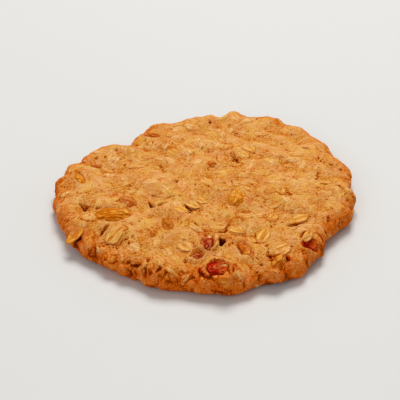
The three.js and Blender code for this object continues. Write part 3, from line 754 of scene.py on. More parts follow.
# ---- Meshes ----


def make_piece(name, points, faces, finish, tints):
    """A smooth piece from points in millimetres; tints are values that its finish reads."""
    mesh = bpy.data.meshes.new(name)
    mesh.from_pydata(((points + POLE) / METRE).tolist(), [], faces)
    for tint, values in tints.items():
        carried = mesh.attributes.new(tint, "FLOAT", "POINT")
        carried.data.foreach_set("value", values.astype(np.float32))
    mesh.shade_smooth()
    mesh.materials.append(finish)
    piece = bpy.data.objects.new(name, mesh)
    bpy.context.scene.collection.objects.link(piece)
    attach(piece, "root")
    return piece


def unit_ball(detail):
    """The points and triangles of a ball of radius 1."""
    ball = bmesh.new()
    bmesh.ops.create_icosphere(ball, subdivisions=detail, radius=1)
    points = np.array([corner.co[:] for corner in ball.verts])
    faces = np.array([[corner.index for corner in face.verts] for face in ball.faces])
    ball.free()
    return points, faces


# ---- The dough ----


def rim_crags(points, t):
    """Rounded lumps of dough with creases between them: how far they stand out, and the creases, which
    are painted dark as shade.
    """
    bend_size, bend = CRAG_BENDS
    bent = points + bend * bends(points, bend_size, SEEDS["crag bends"])
    front_at, front_spread = CRAG_FRONT
    angle = np.arctan2(points[:, 1], points[:, 0])
    front = np.exp(-((degrees_from(angle, front_at) / front_spread) ** 2))
    rim = ramp(t, *CRAG_RIM)
    strength = rim * (CRAG_STRENGTH["rim"] + CRAG_STRENGTH["front"] * front)
    strength += (1 - rim) * CRAG_STRENGTH["top"]
    rise = np.zeros(len(points))
    crease = np.zeros(len(points))
    for number, (size, height) in enumerate(CRAGS):
        billow = abs(noise(bent, size, SEEDS["crags"] + number))
        rise += strength * height * (billow**CRAG_ROUND - CRAG_MIDDLE)
        crease = np.maximum(crease, strength * (1 - ramp(billow, 0.0, CREASE_WIDTH)))
    return rise, crease * ramp(noise(points, CREASE_PATCHES, SEEDS["crag creases"]), *CREASE_SPREAD)


def raised_side(number, kind, turn):
    """The way in which an oat's mound is highest, as an angle from along the oat."""
    heading = number * GOLDEN_TURN
    if kind == "clear":  # these all face the front, more or less, so the painted shadow under their raised side lies in front
        return math.radians(-90 - turn) + math.cos(heading)
    return heading


def filmed_oats(points):
    """Mounds over the oats, as fields on the dough.

    They are its rise, how much oat shows, the painted shadow in the gap under raised edges, how far
    along and across the nearest oat a point lies, and whether it lies on a mound or in the furrow
    between.
    """
    rise, oat, gap, along_oat, across_oat = (np.zeros(len(points)) for _ in range(5))
    nearest, next_nearest = (np.full(len(points), NO_OAT) for _ in range(2))
    clear = len(CLEAR_FLAKES)
    kinds = ["clear"] * clear + ["laid"] * (len(FLAKES_LAID) - clear) + ["filmed"] * FILMED["count"]
    ragged_size, ragged = MOUND_RAGGED
    for number, (flake, kind) in enumerate(zip(FLAKES_LAID + FILMED_FLAKES, kinds)):
        mound = MOUNDS[kind]
        middle, axes = seat(flake.angle, flake.t, flake.turn, 0, 0)
        away = ((points - middle) ** 2).sum(axis=1)
        near = np.flatnonzero(away < (flake.long * MOUND_REACH) ** 2)
        along, across, distance = leaf_place(flake, points[near], middle, axes)
        uneven = noise(points[near], ragged_size, SEEDS["mounds"])
        distance = distance / mound.grow * (1 + ragged * uneven)
        heading = raised_side(number, kind, flake.turn)
        side = math.cos(heading) * along / flake.long + math.sin(heading) * across / flake.wide
        proud = np.clip(0.5 + MOUND_LEAN * side, MOUND_LOWEST, 1)
        height = mound.height * proud * np.clip(1 - distance**MOUND_FLAT, 0, 1)
        # Painted shadow in the gap under the mound's raised side.
        under = np.exp(-(((distance - GAP_SHADOW_PLACE) / GAP_SHADOW_WIDTH) ** 2)) * ramp(side, *GAP_SHADOW_SIDE)
        gap[near] = np.maximum(gap[near], mound.gap * under)
        higher = height > rise[near]
        rise[near[higher]] = height[higher]
        shown = OAT_SHOWN["clear"]
        if kind != "clear":
            shown = OAT_SHOWN["least"] + OAT_SHOWN["bare"] * flake.bare**2
        shown *= ramp(1 - distance, 0, OAT_BRINK) * (OAT_LOW_SIDE + (1 - OAT_LOW_SIDE) * proud)
        oat[near[higher]] = shown[higher]
        farther = np.maximum(nearest[near], distance)
        next_nearest[near] = np.minimum(next_nearest[near], farther)
        closer = distance < nearest[near]
        for field, values in ((nearest, distance), (along_oat, along), (across_oat, across)):
            field[near[closer]] = values[closer]
    lie = ramp(next_nearest - nearest, *FURROW)
    return rise, {"oat": oat, "gap": gap, "along": along_oat, "across": across_oat, "lie": lie}


def seat_raisin(raisin):
    lift = raisin.proud - raisin.tall / 2
    return seat(*place_on_skin(raisin.x, raisin.y), raisin.turn, lift, 0)


def raisin_rise(raisin, along, across, up):
    """How far a raisin's back stands above a place in its frame. Far off it is well below."""
    distance = np.hypot(along / (raisin.long / 2), across / (raisin.wide / 2)) / RAISIN_SWELL
    back = raisin.tall / 2 * np.sqrt(np.clip(1 - distance**2, 0, 1))
    back -= WELL_BELOW * np.clip(distance - 1, 0, 1)
    return np.where(abs(up) < raisin.tall, back - up, -WELL_BELOW)


def near_by(points, x, y, reach):
    """Which points lie near a place on the plan."""
    return np.flatnonzero(abs(points[:, :2] - (x, y)).max(axis=1) < reach)


def dough_laps(points):
    """Uneven laps of dough that reach over the raisins' edges."""
    rise = np.zeros(len(points))
    for number, raisin in enumerate(RAISINS.values()):
        near = near_by(points, raisin.x, raisin.y, raisin.long)
        off = (raisin_distance(points[near], raisin) - LAP_PLACE) / LAP_WIDTH
        uneven = ramp(noise(points[near], LAP_SIZE, SEEDS["laps"] + number), *LAP_SPREAD)
        rise[near] += SKINS[raisin.skin].lap * uneven * np.exp(-off * off)
    return rise


def tear_distance(points, line):
    """How far places are from a line on the plan, and how far along it they are, from 0 to 1."""
    nearest = np.full(len(points), float(TEAR_REACH))
    share = np.zeros(len(points))
    for number, (first, last) in enumerate(zip(line, line[1:])):
        first, step = np.array(first), np.array(last) - first
        part = np.clip((points[:, :2] - first) @ step / (step @ step), 0, 1)
        distance = np.linalg.norm(points[:, :2] - first - part[:, None] * step, axis=1)
        share = np.where(distance < nearest, (number + part) / (len(line) - 1), share)
        nearest = np.minimum(nearest, distance)
    return nearest, share


class Cuts:
    """How deep the crust is cut, how dark painted shade makes it there and how far raisins stain it."""

    def __init__(self, points):
        self.points = points
        self.ragged = noise(points, RAGGED, SEEDS["ragged"])
        self.fine = noise(points, FINE_RAGGED, SEEDS["fine"])
        self.upper = points[:, 2] > BELLY_HEIGHT
        self.depth = np.zeros(len(points))
        self.dark = np.zeros(len(points))
        self.juice = np.zeros(len(points))

    def cut(self, near, depth, dark):
        self.depth[near] = np.maximum(self.depth[near], depth)
        self.dark[near] = np.maximum(self.dark[near], dark)

    def stain(self, near, juice):
        self.juice[near] = np.maximum(self.juice[near], juice)

    def unevenness(self, near, coarse, fine):
        """How ragged edges are there, from long waves and short ones."""
        return coarse * self.ragged[near] + fine * self.fine[near]


def cut_pockets(cuts, crust):
    """A gap round each raisin, with a seam of painted shadow that is darkest in front, and its juice."""
    for raisin in RAISINS.values():
        skin = SKINS[raisin.skin]
        middle, axes = seat_raisin(raisin)
        near = np.flatnonzero(((crust - middle) ** 2).sum(axis=1) < raisin.long**2)
        level = raisin_rise(raisin, *((crust[near] - middle) @ axes).T)
        level += cuts.unevenness(near, *POCKET_RAGGED)
        lowest, highest = POCKET_EDGE
        gap = skin.pocket * ramp(level, lowest - POCKET_WIDENS * skin.pocket, highest)
        front = (middle - crust[near])[:, 1] / (raisin.wide / 2)
        # Painted shadow along the raisin's edge, darkest in front, away from the light behind.
        seam_shadow = np.exp(-(((level - SEAM_LEVEL) / SEAM_WIDTH) ** 2))
        seam_shadow *= SEAM_BEHIND + (1 - SEAM_BEHIND) * ramp(front, *SEAM_TURNS)
        seam_shadow *= ramp(cuts.ragged[near], *SEAM_BREAKS)
        cuts.cut(near, gap, min(SEAM_DARKEST, skin.pocket) * seam_shadow)
        cuts.stain(near, skin.juice * ramp(level, -JUICE_REACH, highest))


def cut_stains(cuts):
    for x, y, across, strength in STAINS:
        near = near_by(cuts.points, x, y, across * EDGE_REACH)
        distance = oval_distance(cuts.points[near], x, y, across, across, 0)
        distance *= 1 + cuts.unevenness(near, STAIN_RAGGED, 0)
        cuts.stain(near, strength * (1 - ramp(distance, *STAIN_EDGE)))


def cut_holes(cuts):
    """The solids' tears, with ragged three-cornered edges and painted shade inside."""
    for number, (x, y, long, wide, deep, turn) in enumerate(HOLES):
        near = near_by(cuts.points, x, y, long * EDGE_REACH)
        points = cuts.points[near]
        along, across = turned(points[:, 0] - x, points[:, 1] - y, turn)
        around = np.arctan2(across / wide, along / long)
        distance = oval_distance(points, x, y, long, wide, turn)
        distance *= 1 + HOLE_CORNERS * np.cos(3 * around + number * GOLDEN_TURN)
        distance *= 1 + cuts.unevenness(near, *HOLE_RAGGED)
        inside = 1 - ramp(distance, *HOLE_EDGE)
        cuts.cut(near, deep * inside, min(1, deep / DARK_HOLE) * (1 - ramp(distance, *HOLE_SHADE)))


def cut_tears(cuts):
    """Narrow tears that taper to both ends, painted dark inside as shade."""
    for width, darkness, line in TEARS:
        near = near_by(cuts.points, *np.mean(line, axis=0), TEAR_REACH)
        distance, share = tear_distance(cuts.points[near], line)
        taper = width * (TEAR_TAPER + (1 - TEAR_TAPER) * np.sin(math.pi * share))
        taper *= 1 + cuts.unevenness(near, 0, TEAR_RAGGED)
        inside = np.exp(-((distance / taper) ** 2)) * cuts.upper[near]
        cuts.cut(near, TEAR_DEPTH * inside, darkness * inside)


def cut_pits(cuts):
    draw = Draws(SMALL_PITS["seed"])
    pits = list(PITS)
    for _ in range(SMALL_PITS["count"]):
        x, y, _ = body_point(*draw_place(draw))[0]
        pits.append((x, y, draw.between(*SMALL_PITS["across"])))
    for x, y, across in pits:
        near = near_by(cuts.points, x, y, across * PIT_REACH)
        long, wide = across * PIT_SHAPE[0], across * PIT_SHAPE[1]
        distance = oval_distance(cuts.points[near], x, y, long, wide, draw() * 180)
        distance *= 1 + cuts.unevenness(near, 0, PIT_RAGGED)
        inside = (1 - ramp(distance, *PIT_EDGE)) * cuts.upper[near] * min(1, across)
        # Each pit is painted dark inside, as shade.
        cuts.cut(near, PIT_DEPTH * inside, PIT_DARK * inside)


def arc_to_t(reach):
    """t at even steps of the dough's profile, from its pole to its foot."""
    t = np.linspace(0, 3, PROFILE_STEPS)
    points, _ = body(np.zeros_like(t), t)
    walked = np.concatenate([[0], np.cumsum(np.linalg.norm(np.diff(points, axis=0), axis=1))])
    return np.interp(reach * walked[-1], walked, t)


def make_dough(finish):
    angle, reach = disc_grid(DOUGH_CELLS)
    t = arc_to_t(reach)
    points, out = body(angle, t)
    crag_rise, crag_crease = rim_crags(points, t)
    oat_rise, oats = filmed_oats(points)
    rise = soft_relief(points) + crag_rise + oat_rise + dough_laps(points)
    cuts = Cuts(points)
    cut_pockets(cuts, points + out * rise[:, None])
    cut_stains(cuts)
    cut_holes(cuts)
    cut_tears(cuts)
    cut_pits(cuts)
    crust = points + out * (rise - cuts.depth)[:, None]
    crust[:, 2] = np.maximum(crust[:, 2], 0)
    # Painted shade: the crust is darkened in cuts, crag creases, gaps under raised oats and dips.
    crevice = cuts.dark + CREVICE_SHADE["crag"] * crag_crease + CREVICE_SHADE["gap"] * oats.pop("gap")
    for rounds, darkness in HOLLOW_SHADE:
        crevice += darkness * np.clip(spread_out(rise, rounds) - rise, 0, 1)
    crevice = np.clip(crevice, 0, 1)
    oats["oat"] *= 1 - crevice
    tints = {
        **oats,
        "crevice": crevice,
        # painted light and shade: bumps paler, dips darker
        "bump": np.clip(BUMP_GAIN * (rise - spread_out(rise, BUMP_ROUNDS)), -1, 1),
        "edge": ramp(t, *RIM_BROWNING_AND_SHADE["dough"]),
        "juice": cuts.juice,
        "sole": np.zeros(len(points)),
    }
    edge = disc_edge(DOUGH_CELLS)
    crust[edge, 2] = 0
    sole, sole_faces = make_sole(crust[edge], len(crust), edge)
    for tint, values in tints.items():
        fill = 1.0 if tint in ("sole", "edge") else 0.0
        tints[tint] = np.concatenate([values, np.full(len(sole), fill)])
    faces = disc_quads(DOUGH_CELLS).tolist() + sole_faces
    points = np.concatenate([crust, sole])
    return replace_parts(make_piece("cookie_dough", points, faces, finish, tints), "cookie")


def make_sole(rim, first, edge):
    """The flat base inside the dough's foot: rings that close on the pole, a little hollow."""
    rings = []
    faces = []
    outer = edge
    for ring in range(1, SOLE_RINGS + 1):
        share = 1 - ring / (SOLE_RINGS + 1)
        points = rim * share
        waves = 0.5 + 0.5 * noise(points, SOLE_WAVES, SEEDS["sole"])
        points[:, 2] = SOLE_HOLLOW * (1 - share) * waves
        inner = first + np.arange(len(edge)) + (ring - 1) * len(edge)
        faces += np.stack([outer, inner, np.roll(inner, -1), np.roll(outer, -1)], -1).tolist()
        rings.append(points)
        outer = inner
    pole = first + SOLE_RINGS * len(edge)
    rings.append(np.array([[0.0, 0.0, SOLE_MIDDLE]]))
    faces += [[a, pole, b] for a, b in zip(outer.tolist(), np.roll(outer, -1).tolist())]
    return np.concatenate(rings), faces


# ---- Oat flakes that lie bare ----


def oat_ridges(flake, share, side, place, seed):
    """The ridges from tip to tip along a flake's back, from -1 to 1."""
    closest, widest = FLAKE_RIDGES
    spacing = closest + (widest - closest) * (seed * GOLDEN_TURN % 1)
    wander_size, wander = RIDGE_WANDER
    row = side * flake.wide / 2 / (1 - RIDGE_SPREAD * share**2)
    row = row + wander * noise(place, wander_size, seed + 1)
    patchy = noise(place, RIDGE_PATCHES, seed + 2)
    strength = RIDGE_STRENGTH + (1 - RIDGE_STRENGTH) * patchy
    return np.cos(2 * math.pi * row / spacing) * strength


def flake_shell(flake, seed):
    """A closed leaf of oat in its own frame: points, faces, ridges and how near its brink, for the
    painted shade on its brink and underside.
    """
    angle, reach = disc_grid(FLAKE_CELLS)
    ragged_size, ragged = FLAKE_RAGGED
    warp_size, warp = FLAKE_WARP
    ring = np.stack([np.cos(angle), np.sin(angle), np.full(len(angle), seed * RING_SLICE)], -1)
    uneven = 1 + ragged * noise(ring, ragged_size, seed) * reach**2
    share = reach * np.cos(angle)
    side = reach * np.sin(angle)
    along = share * flake.long / 2 * uneven
    narrow = 1 - POINTED * share - FLAKE_BLUNT * share**2
    across = side * flake.wide / 2 * narrow * uneven
    place = np.stack([along, across, np.full(len(along), seed * BACK_SLICE)], -1)
    dome = FLAKE_DOME * (1 - reach**2) + warp * noise(place, warp_size, seed)
    half_thick = FLAKE_THICK / 2 * np.clip(1 - reach**FLAKE_EDGE, 0, 1) ** 0.5
    ridges = oat_ridges(flake, share, side, place, seed)
    split = np.exp(-((across / SPLIT_WIDTH) ** 2)) * ramp(1 - reach, *SPLIT_ENDS)
    back = (RIDGE_HEIGHT * ridges - SPLIT_DEPTH * split) * (1 - reach**RIDGE_EDGE)
    upper = np.stack([along, across, dome + half_thick + back], -1)
    lower = np.stack([along, across, dome - half_thick], -1)
    edge = disc_edge(FLAKE_CELLS)
    upper[edge, 2] = dome[edge]
    inner = np.setdiff1d(np.arange(len(upper)), edge)
    lower_index = np.arange(len(upper))
    lower_index[inner] = len(upper) + np.arange(len(inner))
    quads = disc_quads(FLAKE_CELLS)
    faces = np.concatenate([quads, lower_index[quads][:, ::-1]])
    # Painted highlight on the ridges' crests and painted shade in the split.
    ridge = np.clip(0.5 + 0.5 * ridges - SPLIT_DARK * split, 0, 1)
    brink = np.concatenate([ramp(reach, *FLAKE_BRINK_SHADE), np.ones(len(inner))])
    points = np.concatenate([upper, lower[inner]])
    return points, faces, np.concatenate([ridge, ridge[inner]]), brink


def lay_oat(number, flake):
    """A bare flake on the crust: its points, faces and tints."""
    local, faces, ridge, brink = flake_shell(flake, SEEDS["flakes"] + number)
    lift = flake.lift - FLAKE_SINK
    middle, axes = seat(flake.angle, flake.t, flake.turn, lift, flake.tip)
    points = middle + local @ axes.T
    if abs(flake.tip) < STIFF_TIP:
        level = local[:, 2] + lift + local[:, 0] * math.sin(math.radians(flake.tip))
        off = DRAPE * (level - clearance(points))
        points = points + axes[:, 2] * off[:, None]
    points[:, 2] = np.maximum(points[:, 2], FLAKE_LOWEST)
    bared = clearance(points) + patches(points, FLAKE_FILM, SEEDS["flake film"])
    bared -= FILM_DEPTH * (1 - flake.bare)
    tints = {
        "film": 1 - ramp(bared, 0, FILM_DEPTH),
        "along": local[:, 0] + number * FLAKE_SLICE,
        "across": local[:, 1],
        "ridge": ridge,
        "brink": brink,
        "honey": np.full(len(points), flake.honey),
        "edge": np.full(len(points), ramp(flake.t, *RIM_BROWNING_AND_SHADE["oats"])),
    }
    return points, faces, tints


def make_oat_flakes(finish):
    points, faces, tints = [], [], []
    count = 0
    for number, flake in enumerate(FLAKES_LAID[: len(CLEAR_FLAKES)]):
        oat_points, oat_faces, oat_tints = lay_oat(number, flake)
        points.append(oat_points)
        faces.append(oat_faces + count)
        tints.append(oat_tints)
        count += len(oat_points)
    tints = {name: np.concatenate([oat[name] for oat in tints]) for name in tints[0]}
    points, faces = np.concatenate(points), np.concatenate(faces).tolist()
    return make_piece("oat_flakes", points, faces, finish, tints)


# ---- Raisins ----


def oval_mark(along, across, mark):
    """How far places on a raisin are from a mark on it, in the mark's half-sizes."""
    at_along, at_across, half_long, half_wide = mark
    return np.hypot((along - at_along) / half_long, (across - at_across) / half_wide)


def raisin_shape(name, raisin, ball):
    """The skin that a ball becomes, in the raisin's frame, and its creases."""
    half = np.array([raisin.long, raisin.wide, raisin.tall]) / 2
    phase = raisin.x + raisin.y
    along, across, up = ball.T
    around = np.arctan2(up, across)
    fold = np.cos(RAISIN_FOLDS * around + FOLD_TWIST * along + phase)
    dent = np.sin(DENTS[0] * along + DENTS[1] * around + phase)
    sunk = (FOLD_DEPTH * (1 - fold) + DENT_DEPTH * (1 - dent)) * (1 - along**2) / 2
    place = ball * half + phase
    bent = place + WRINKLE_BENDS[1] * bends(place, WRINKLE_BENDS[0], SEEDS["raisin bends"])
    drawn_out = WRINKLE_DRAWN["long" if raisin.long > LONG_RAISIN else "short"]
    wrinkle = noise(bent * (drawn_out, 1, 1), WRINKLE_SIZE, SEEDS["wrinkles"])
    fine = noise(bent * (WRINKLE_DRAWN["fine"], 1, 1), FINE_WRINKLE_SIZE, SEEDS["fine wrinkles"])
    wrinkle, fine = abs(wrinkle) ** WRINKLE_ROUND, abs(fine) ** FINE_WRINKLE_ROUND
    lumpy = noise(place, RAISIN_LUMPS, SEEDS["raisin lumps"])
    swell = SKIN_SWELL["middle"] + SKIN_SWELL["wrinkle"] * wrinkle
    swell += SKIN_SWELL["fine"] * fine + SKIN_SWELL["lumps"] * lumpy
    swell *= 1 - SKIN_SWELL["sunk"] * sunk
    local = ball * half * RAISIN_FLARE * swell[:, None]
    crease = SKIN_CREASE["middle"] - SKIN_CREASE["wrinkle"] * wrinkle
    crease += SKIN_CREASE["sunk"] * sunk - SKIN_CREASE["fine"] * fine
    if name in HOLLOWED:
        ring = np.hypot(along + HOLLOW["off"], across)
        ring += HOLLOW["wander"] * noise(place, HOLLOW["waves"], SEEDS["ring folds"])
        dip = np.exp(-((ring / HOLLOW["wide"]) ** 2)) * (up > 0)
        local[:, 2] -= raisin.tall * HOLLOW["deep"] * dip
        for fold_at, fold_wide in RING_FOLDS:
            crease = np.maximum(crease, np.exp(-(((ring - fold_at) / fold_wide) ** 2)))
    return local, np.clip(crease, 0, 1)


def make_raisin(name, raisin, finish):
    """A squashed egg with the solid's long folds, wrinkled in between."""
    skin = SKINS[raisin.skin]
    ball, faces = unit_ball(BALL_DETAIL["large" if raisin.long > LARGE_RAISIN else "small"])
    along, across, up = ball.T
    local, crease = raisin_shape(name, raisin, ball)
    middle, axes = seat_raisin(raisin)
    points = middle + local @ axes.T
    x, y, _ = (points - middle).T / (raisin.long / 2)
    veiled = x * math.cos(math.radians(raisin.veil)) + y * math.sin(math.radians(raisin.veil))
    pale = np.zeros(len(ball))
    # Painted highlights on some raisins.
    if name in PAINTED_GLINTS:
        pale = np.exp(-(oval_mark(along, across, PAINTED_GLINTS[name]) ** 4)) * (up > 0)
    height = clearance(points)
    film = skin.film + patches(points, FILM_PATCHES, SEEDS["raisin film"]) + VEIL * veiled
    if name in STUCK_CRUMBS:
        film += STUCK_FILM * np.exp(-(oval_mark(along, across, STUCK_CRUMBS[name]) ** 2))
    rim = ramp(place_on_skin(raisin.x, raisin.y)[1], *RIM_BROWNING_AND_SHADE["raisins"])
    ripe = 0.5 - 0.5 * along + patches(points, [RIPE_PATCHES], SEEDS["ripeness"])
    tints = {
        "crease": crease,
        "film": ramp(film - pale - height, *FILM_EDGE),
        "low": ramp(height, *LOW_SKIN),
        "edge": np.full(len(ball), rim),
        "pale": pale,
        "ripe": np.clip(ripe, 0, 1),
    }
    piece = make_piece(name + "_skin", points, faces.tolist(), finish, tints)
    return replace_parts(piece, name)


# ---- Crumbs ----


def make_crumbs(finish):
    draw = Draws(CRUMBS["seed"])
    ball, faces = unit_ball(BALL_DETAIL["crumb"])
    lump_size, lumps = CRUMB_LUMPS
    crumbs, crumb_faces = [], []
    for number in range(CRUMBS["count"]):
        angle, t = draw_place(draw)
        size = draw.between(*CRUMBS["size"]) * draw.between(*CRUMBS["chipped"])
        middle, axes = seat(angle, min(t, CRUMBS["lowest"]), draw() * 360, size * CRUMB_LIFT, 0)
        uneven = 1 + lumps * noise(ball + number, lump_size, SEEDS["crumbs"])
        crumbs.append(middle + (ball * uneven[:, None] * CRUMB_SHAPE * size / 2) @ axes.T)
        crumb_faces.append(faces + number * len(ball))
    points, faces = np.concatenate(crumbs), np.concatenate(crumb_faces).tolist()
    return make_piece("crumbs", points, faces, finish, {})


# ---- Finishes ----


def shade(code):
    """A colour in the shader's terms, from its usual hex code."""
    parts = [int(code[i : i + 2], 16) / 255 for i in (1, 3, 5)]
    linear = [part / 12.92 if part <= 0.04045 else ((part + 0.055) / 1.055) ** 2.4 for part in parts]
    return (*linear, 1.0)


class Number:
    """A shader socket that takes part in sums."""

    def __init__(self, finish, socket):
        self.finish = finish
        self.socket = socket

    def maths(self, operation, first, second=0.0):
        sockets = {"Value": first, "Value_001": second}
        return self.finish.node("ShaderNodeMath", {"operation": operation}, sockets)

    def __add__(self, other):
        return self.maths("ADD", self, other)

    def __radd__(self, other):
        return self.maths("ADD", other, self)

    def __sub__(self, other):
        return self.maths("SUBTRACT", self, other)

    def __rsub__(self, other):
        return self.maths("SUBTRACT", other, self)

    def __mul__(self, other):
        return self.maths("MULTIPLY", self, other)

    def __rmul__(self, other):
        return self.maths("MULTIPLY", other, self)

    def __abs__(self):
        return self.maths("ABSOLUTE", self)

    def ramp(self, low, high):
        """0 at low, 1 at high and smooth between."""
        sockets = {"Value": self, "From Min": low, "From Max": high}
        settings = {"interpolation_type": "SMOOTHSTEP"}
        return self.finish.node("ShaderNodeMapRange", settings, sockets)


class Finish:
    """A material under making."""

    def __init__(self, name):
        self.material = bpy.data.materials.new(name)
        self.material.use_nodes = True
        self.tree = self.material.node_tree
        self.tree.nodes.clear()

    def node(self, kind, settings, sockets, output=None):
        """A node with its settings, then its sockets' values or links. Returns an output."""
        made = self.tree.nodes.new(kind)
        for setting, value in settings.items():
            if setting == "stops":
                self.set_stops(made.color_ramp, value)
            else:
                setattr(made, setting, value)
        for identifier, value in sockets.items():
            socket = next(s for s in made.inputs if s.identifier == identifier)
            if isinstance(value, Number):
                self.tree.links.new(value.socket, socket)
            else:
                socket.default_value = value
        named = [socket for socket in made.outputs if socket.identifier == output]
        chosen = named or made.outputs[:1]
        return Number(self, chosen[0]) if chosen else None

    def set_stops(self, ramp, stops):
        for _ in range(len(stops) - len(ramp.elements)):
            ramp.elements.new(0.5)
        for stop, (place, colour) in zip(ramp.elements, stops):
            stop.position = place
            stop.color = colour

    def tones(self, value, stops):
        """The colour at a number from 0 to 1 along a row of places and colours."""
        return self.node("ShaderNodeValToRGB", {"stops": stops}, {"Fac": value})

    def tint(self, name):
        """A value that the mesh carries."""
        return self.node("ShaderNodeAttribute", {"attribute_name": name}, {}, "Fac")

    def noise(self, size, detail=2.0, roughness=0.5, at=None):
        """Noise from 0 to 1 with bumps so many millimetres apart. at is in millimetres."""
        sockets = {"Scale": 1 / size, "Detail": detail, "Roughness": roughness, "Vector": at}
        if at is None:
            sockets["Vector"] = self.node("ShaderNodeTexCoord", {}, {}, "Object")
            sockets["Scale"] = METRE / size
        return self.node("ShaderNodeTexNoise", {}, sockets)

    def mix(self, share, first, second):
        """A colour share of the way from the first to the second."""
        sockets = {"Factor_Float": share, "A_Color": first, "B_Color": second}
        return self.node("ShaderNodeMix", {"data_type": "RGBA"}, sockets, "Result_Color")

    def bump(self, height, depth, under=None):
        """A normal that is bent by a height, from 0 to 1, of so many millimetres."""
        sockets = {"Height": height, "Distance": depth / METRE}
        if under:
            sockets["Normal"] = under
        return self.node("ShaderNodeBump", {}, sockets)

    def oat_place(self):
        """Places along and across an oat in millimetres, drawn out along it."""
        sockets = {"X": self.tint("along") * OAT_DRAWN_OUT, "Y": self.tint("across")}
        return self.node("ShaderNodeCombineXYZ", {}, sockets)

    def finish(self, **sockets):
        named = {name.replace("_", " "): value for name, value in sockets.items()}
        skin = self.node("ShaderNodeBsdfPrincipled", {}, named)
        self.node("ShaderNodeOutputMaterial", {}, {"Surface": skin})
        return self.material


def tone_row(codes):
    return [(place, shade(code)) for place, code in codes.items()]


# From the darkest crevice to the palest oat.
CRUST_TONES = tone_row(
    {
        0.0: "#440800",
        0.12: "#882600",
        0.22: "#b04a00",
        0.33: "#c66e14",
        0.44: "#d18a3a",
        0.5: "#d6954c",
        0.58: "#dc9f58",
        0.68: "#e3ab64",
        0.85: "#eebb76",
        1.0: "#f8ca8c",
    }
)
STAINED_TONES = tone_row(
    {
        0.0: "#5c0800",
        0.15: "#981800",
        0.35: "#c04408",
        0.5: "#d4681e",
        0.75: "#e2924c",
        1.0: "#f0b484",
    }
)
OAT_TONES = tone_row(
    {
        0.0: "#903804",
        0.3: "#c87824",
        0.5: "#dc9a48",
        0.7: "#e9af60",
        0.9: "#f2bd72",
        1.0: "#f9d08e",
    }
)
HONEY_TONES = tone_row(
    {0.0: "#903600", 0.3: "#c86e0c", 0.5: "#dc9022", 0.7: "#eaab3a", 1.0: "#f8ca68"}
)
PEACH = shade("#e09a60")
STRAW = shade("#e0a43e")
TAN = shade("#d89144")
ORANGE = shade("#d26a12")
EMBER = shade("#e0640c")
HONEY = shade("#e08a1c")
TOASTED = shade("#c06415")
# the colour of the painted highlights on the raisins
GLEAM = shade("#ffd07c")
BUTTER = shade("#ffd080")  # the warm cast of the gloss
TABLE_GREY = shade("#d3d2ce")

CRUST = {  # how far each thing lightens or darkens the crust, on the row of tones
    "middle": 0.5,
    "fleck": 0.42,
    "grain": 1.08,
    "line": 0.42,
    "oat": 0.26,
    "bump": 0.08,
    "patch": 0.5,
    "chaff": 0.14,
    "rim": 0.08,
    "crevice": 0.48,
    "speck": 0.35,
    "rim speck": 0.4,
    "burnt": 0.36,
}
BLUSH = {"peach": 0.4, "straw": 0.45, "orange": 0.26, "ember": 0.8, "toasted": 0.55}
OAT = {"middle": 0.44, "ridge": 0.38, "line": 0.8, "fleck": 0.5, "film": 0.06}
OAT_BLUSH = {"honey": 0.85, "rim honey": 0.35, "rim film": 0.7, "brink": 0.85}
OAT_DRAWN_OUT = 0.22  # the less, the longer the lines along an oat are


def baked_crust():
    crust = Finish("baked_crust")
    oat, rim = crust.tint("oat"), crust.tint("edge")
    fleck = crust.noise(2.0, 5, 0.65)
    grain = crust.noise(0.6, 3, 0.65)
    streak = crust.noise(1.15, 3, 0.6, crust.oat_place())
    lined = crust.tint("lie") * (0.25 + 0.75 * oat)
    speck = crust.noise(1.1).ramp(0.35, 0.27)
    chaff = crust.noise(0.9).ramp(0.64, 0.72)
    burnt = crust.noise(9, 1.5).ramp(0.5, 0.66) * rim
    tone = CRUST["middle"] + (0.5 - fleck) * CRUST["fleck"] + (0.5 - grain) * CRUST["grain"]
    tone += lined * (streak.ramp(0.4, 0.6) - 0.5) * CRUST["line"]
    # The bump tint is painted light and shade: bumps paler, dips darker.
    tone += oat * CRUST["oat"] + crust.tint("bump") * CRUST["bump"] + chaff * CRUST["chaff"]
    tone += (crust.noise(9, 3) - 0.5) * CRUST["patch"]
    # The crevice tint darkens the crust as painted shade.
    tone -= rim * CRUST["rim"] + crust.tint("crevice") * CRUST["crevice"]
    tone -= speck * (CRUST["speck"] + rim * CRUST["rim speck"]) + burnt * CRUST["burnt"]
    colour = crust.tones(tone, CRUST_TONES)
    patch = crust.noise(5.5, 1.5)
    lit = tone.ramp(0.3, 0.48)
    colour = crust.mix(patch.ramp(0.48, 0.7) * lit * BLUSH["peach"], colour, PEACH)
    colour = crust.mix(patch.ramp(0.52, 0.3) * lit * BLUSH["straw"], colour, STRAW)
    warmed = tone.ramp(0.85, 0.4) * (0.4 + 0.6 * tone.ramp(0.1, 0.3))
    ruddy = crust.noise(6, 3).ramp(0.52, 0.7)
    colour = crust.mix(ruddy * warmed * BLUSH["orange"], colour, ORANGE)
    colour = crust.mix(rim * warmed * BLUSH["ember"], colour, EMBER)
    stained = crust.tones(tone, STAINED_TONES)
    colour = crust.mix(crust.tint("juice") * fleck.ramp(0.3, 0.55), colour, stained)
    colour = crust.mix(crust.tint("sole") * BLUSH["toasted"], colour, TOASTED)
    bent = crust.bump(fleck, 0.45)
    bent = crust.bump(grain, 0.25, bent)
    bent = crust.bump(streak * lined, 0.8, bent)
    return crust.finish(
        Base_Color=colour,
        Roughness=0.5 + 0.3 * grain,
        Subsurface_Weight=0.2,
        Subsurface_Radius=(1.0, 0.45, 0.2),
        Subsurface_Scale=0.0008,
        Specular_IOR_Level=0.02,
        Specular_Tint=BUTTER,
        Normal=bent,
    )


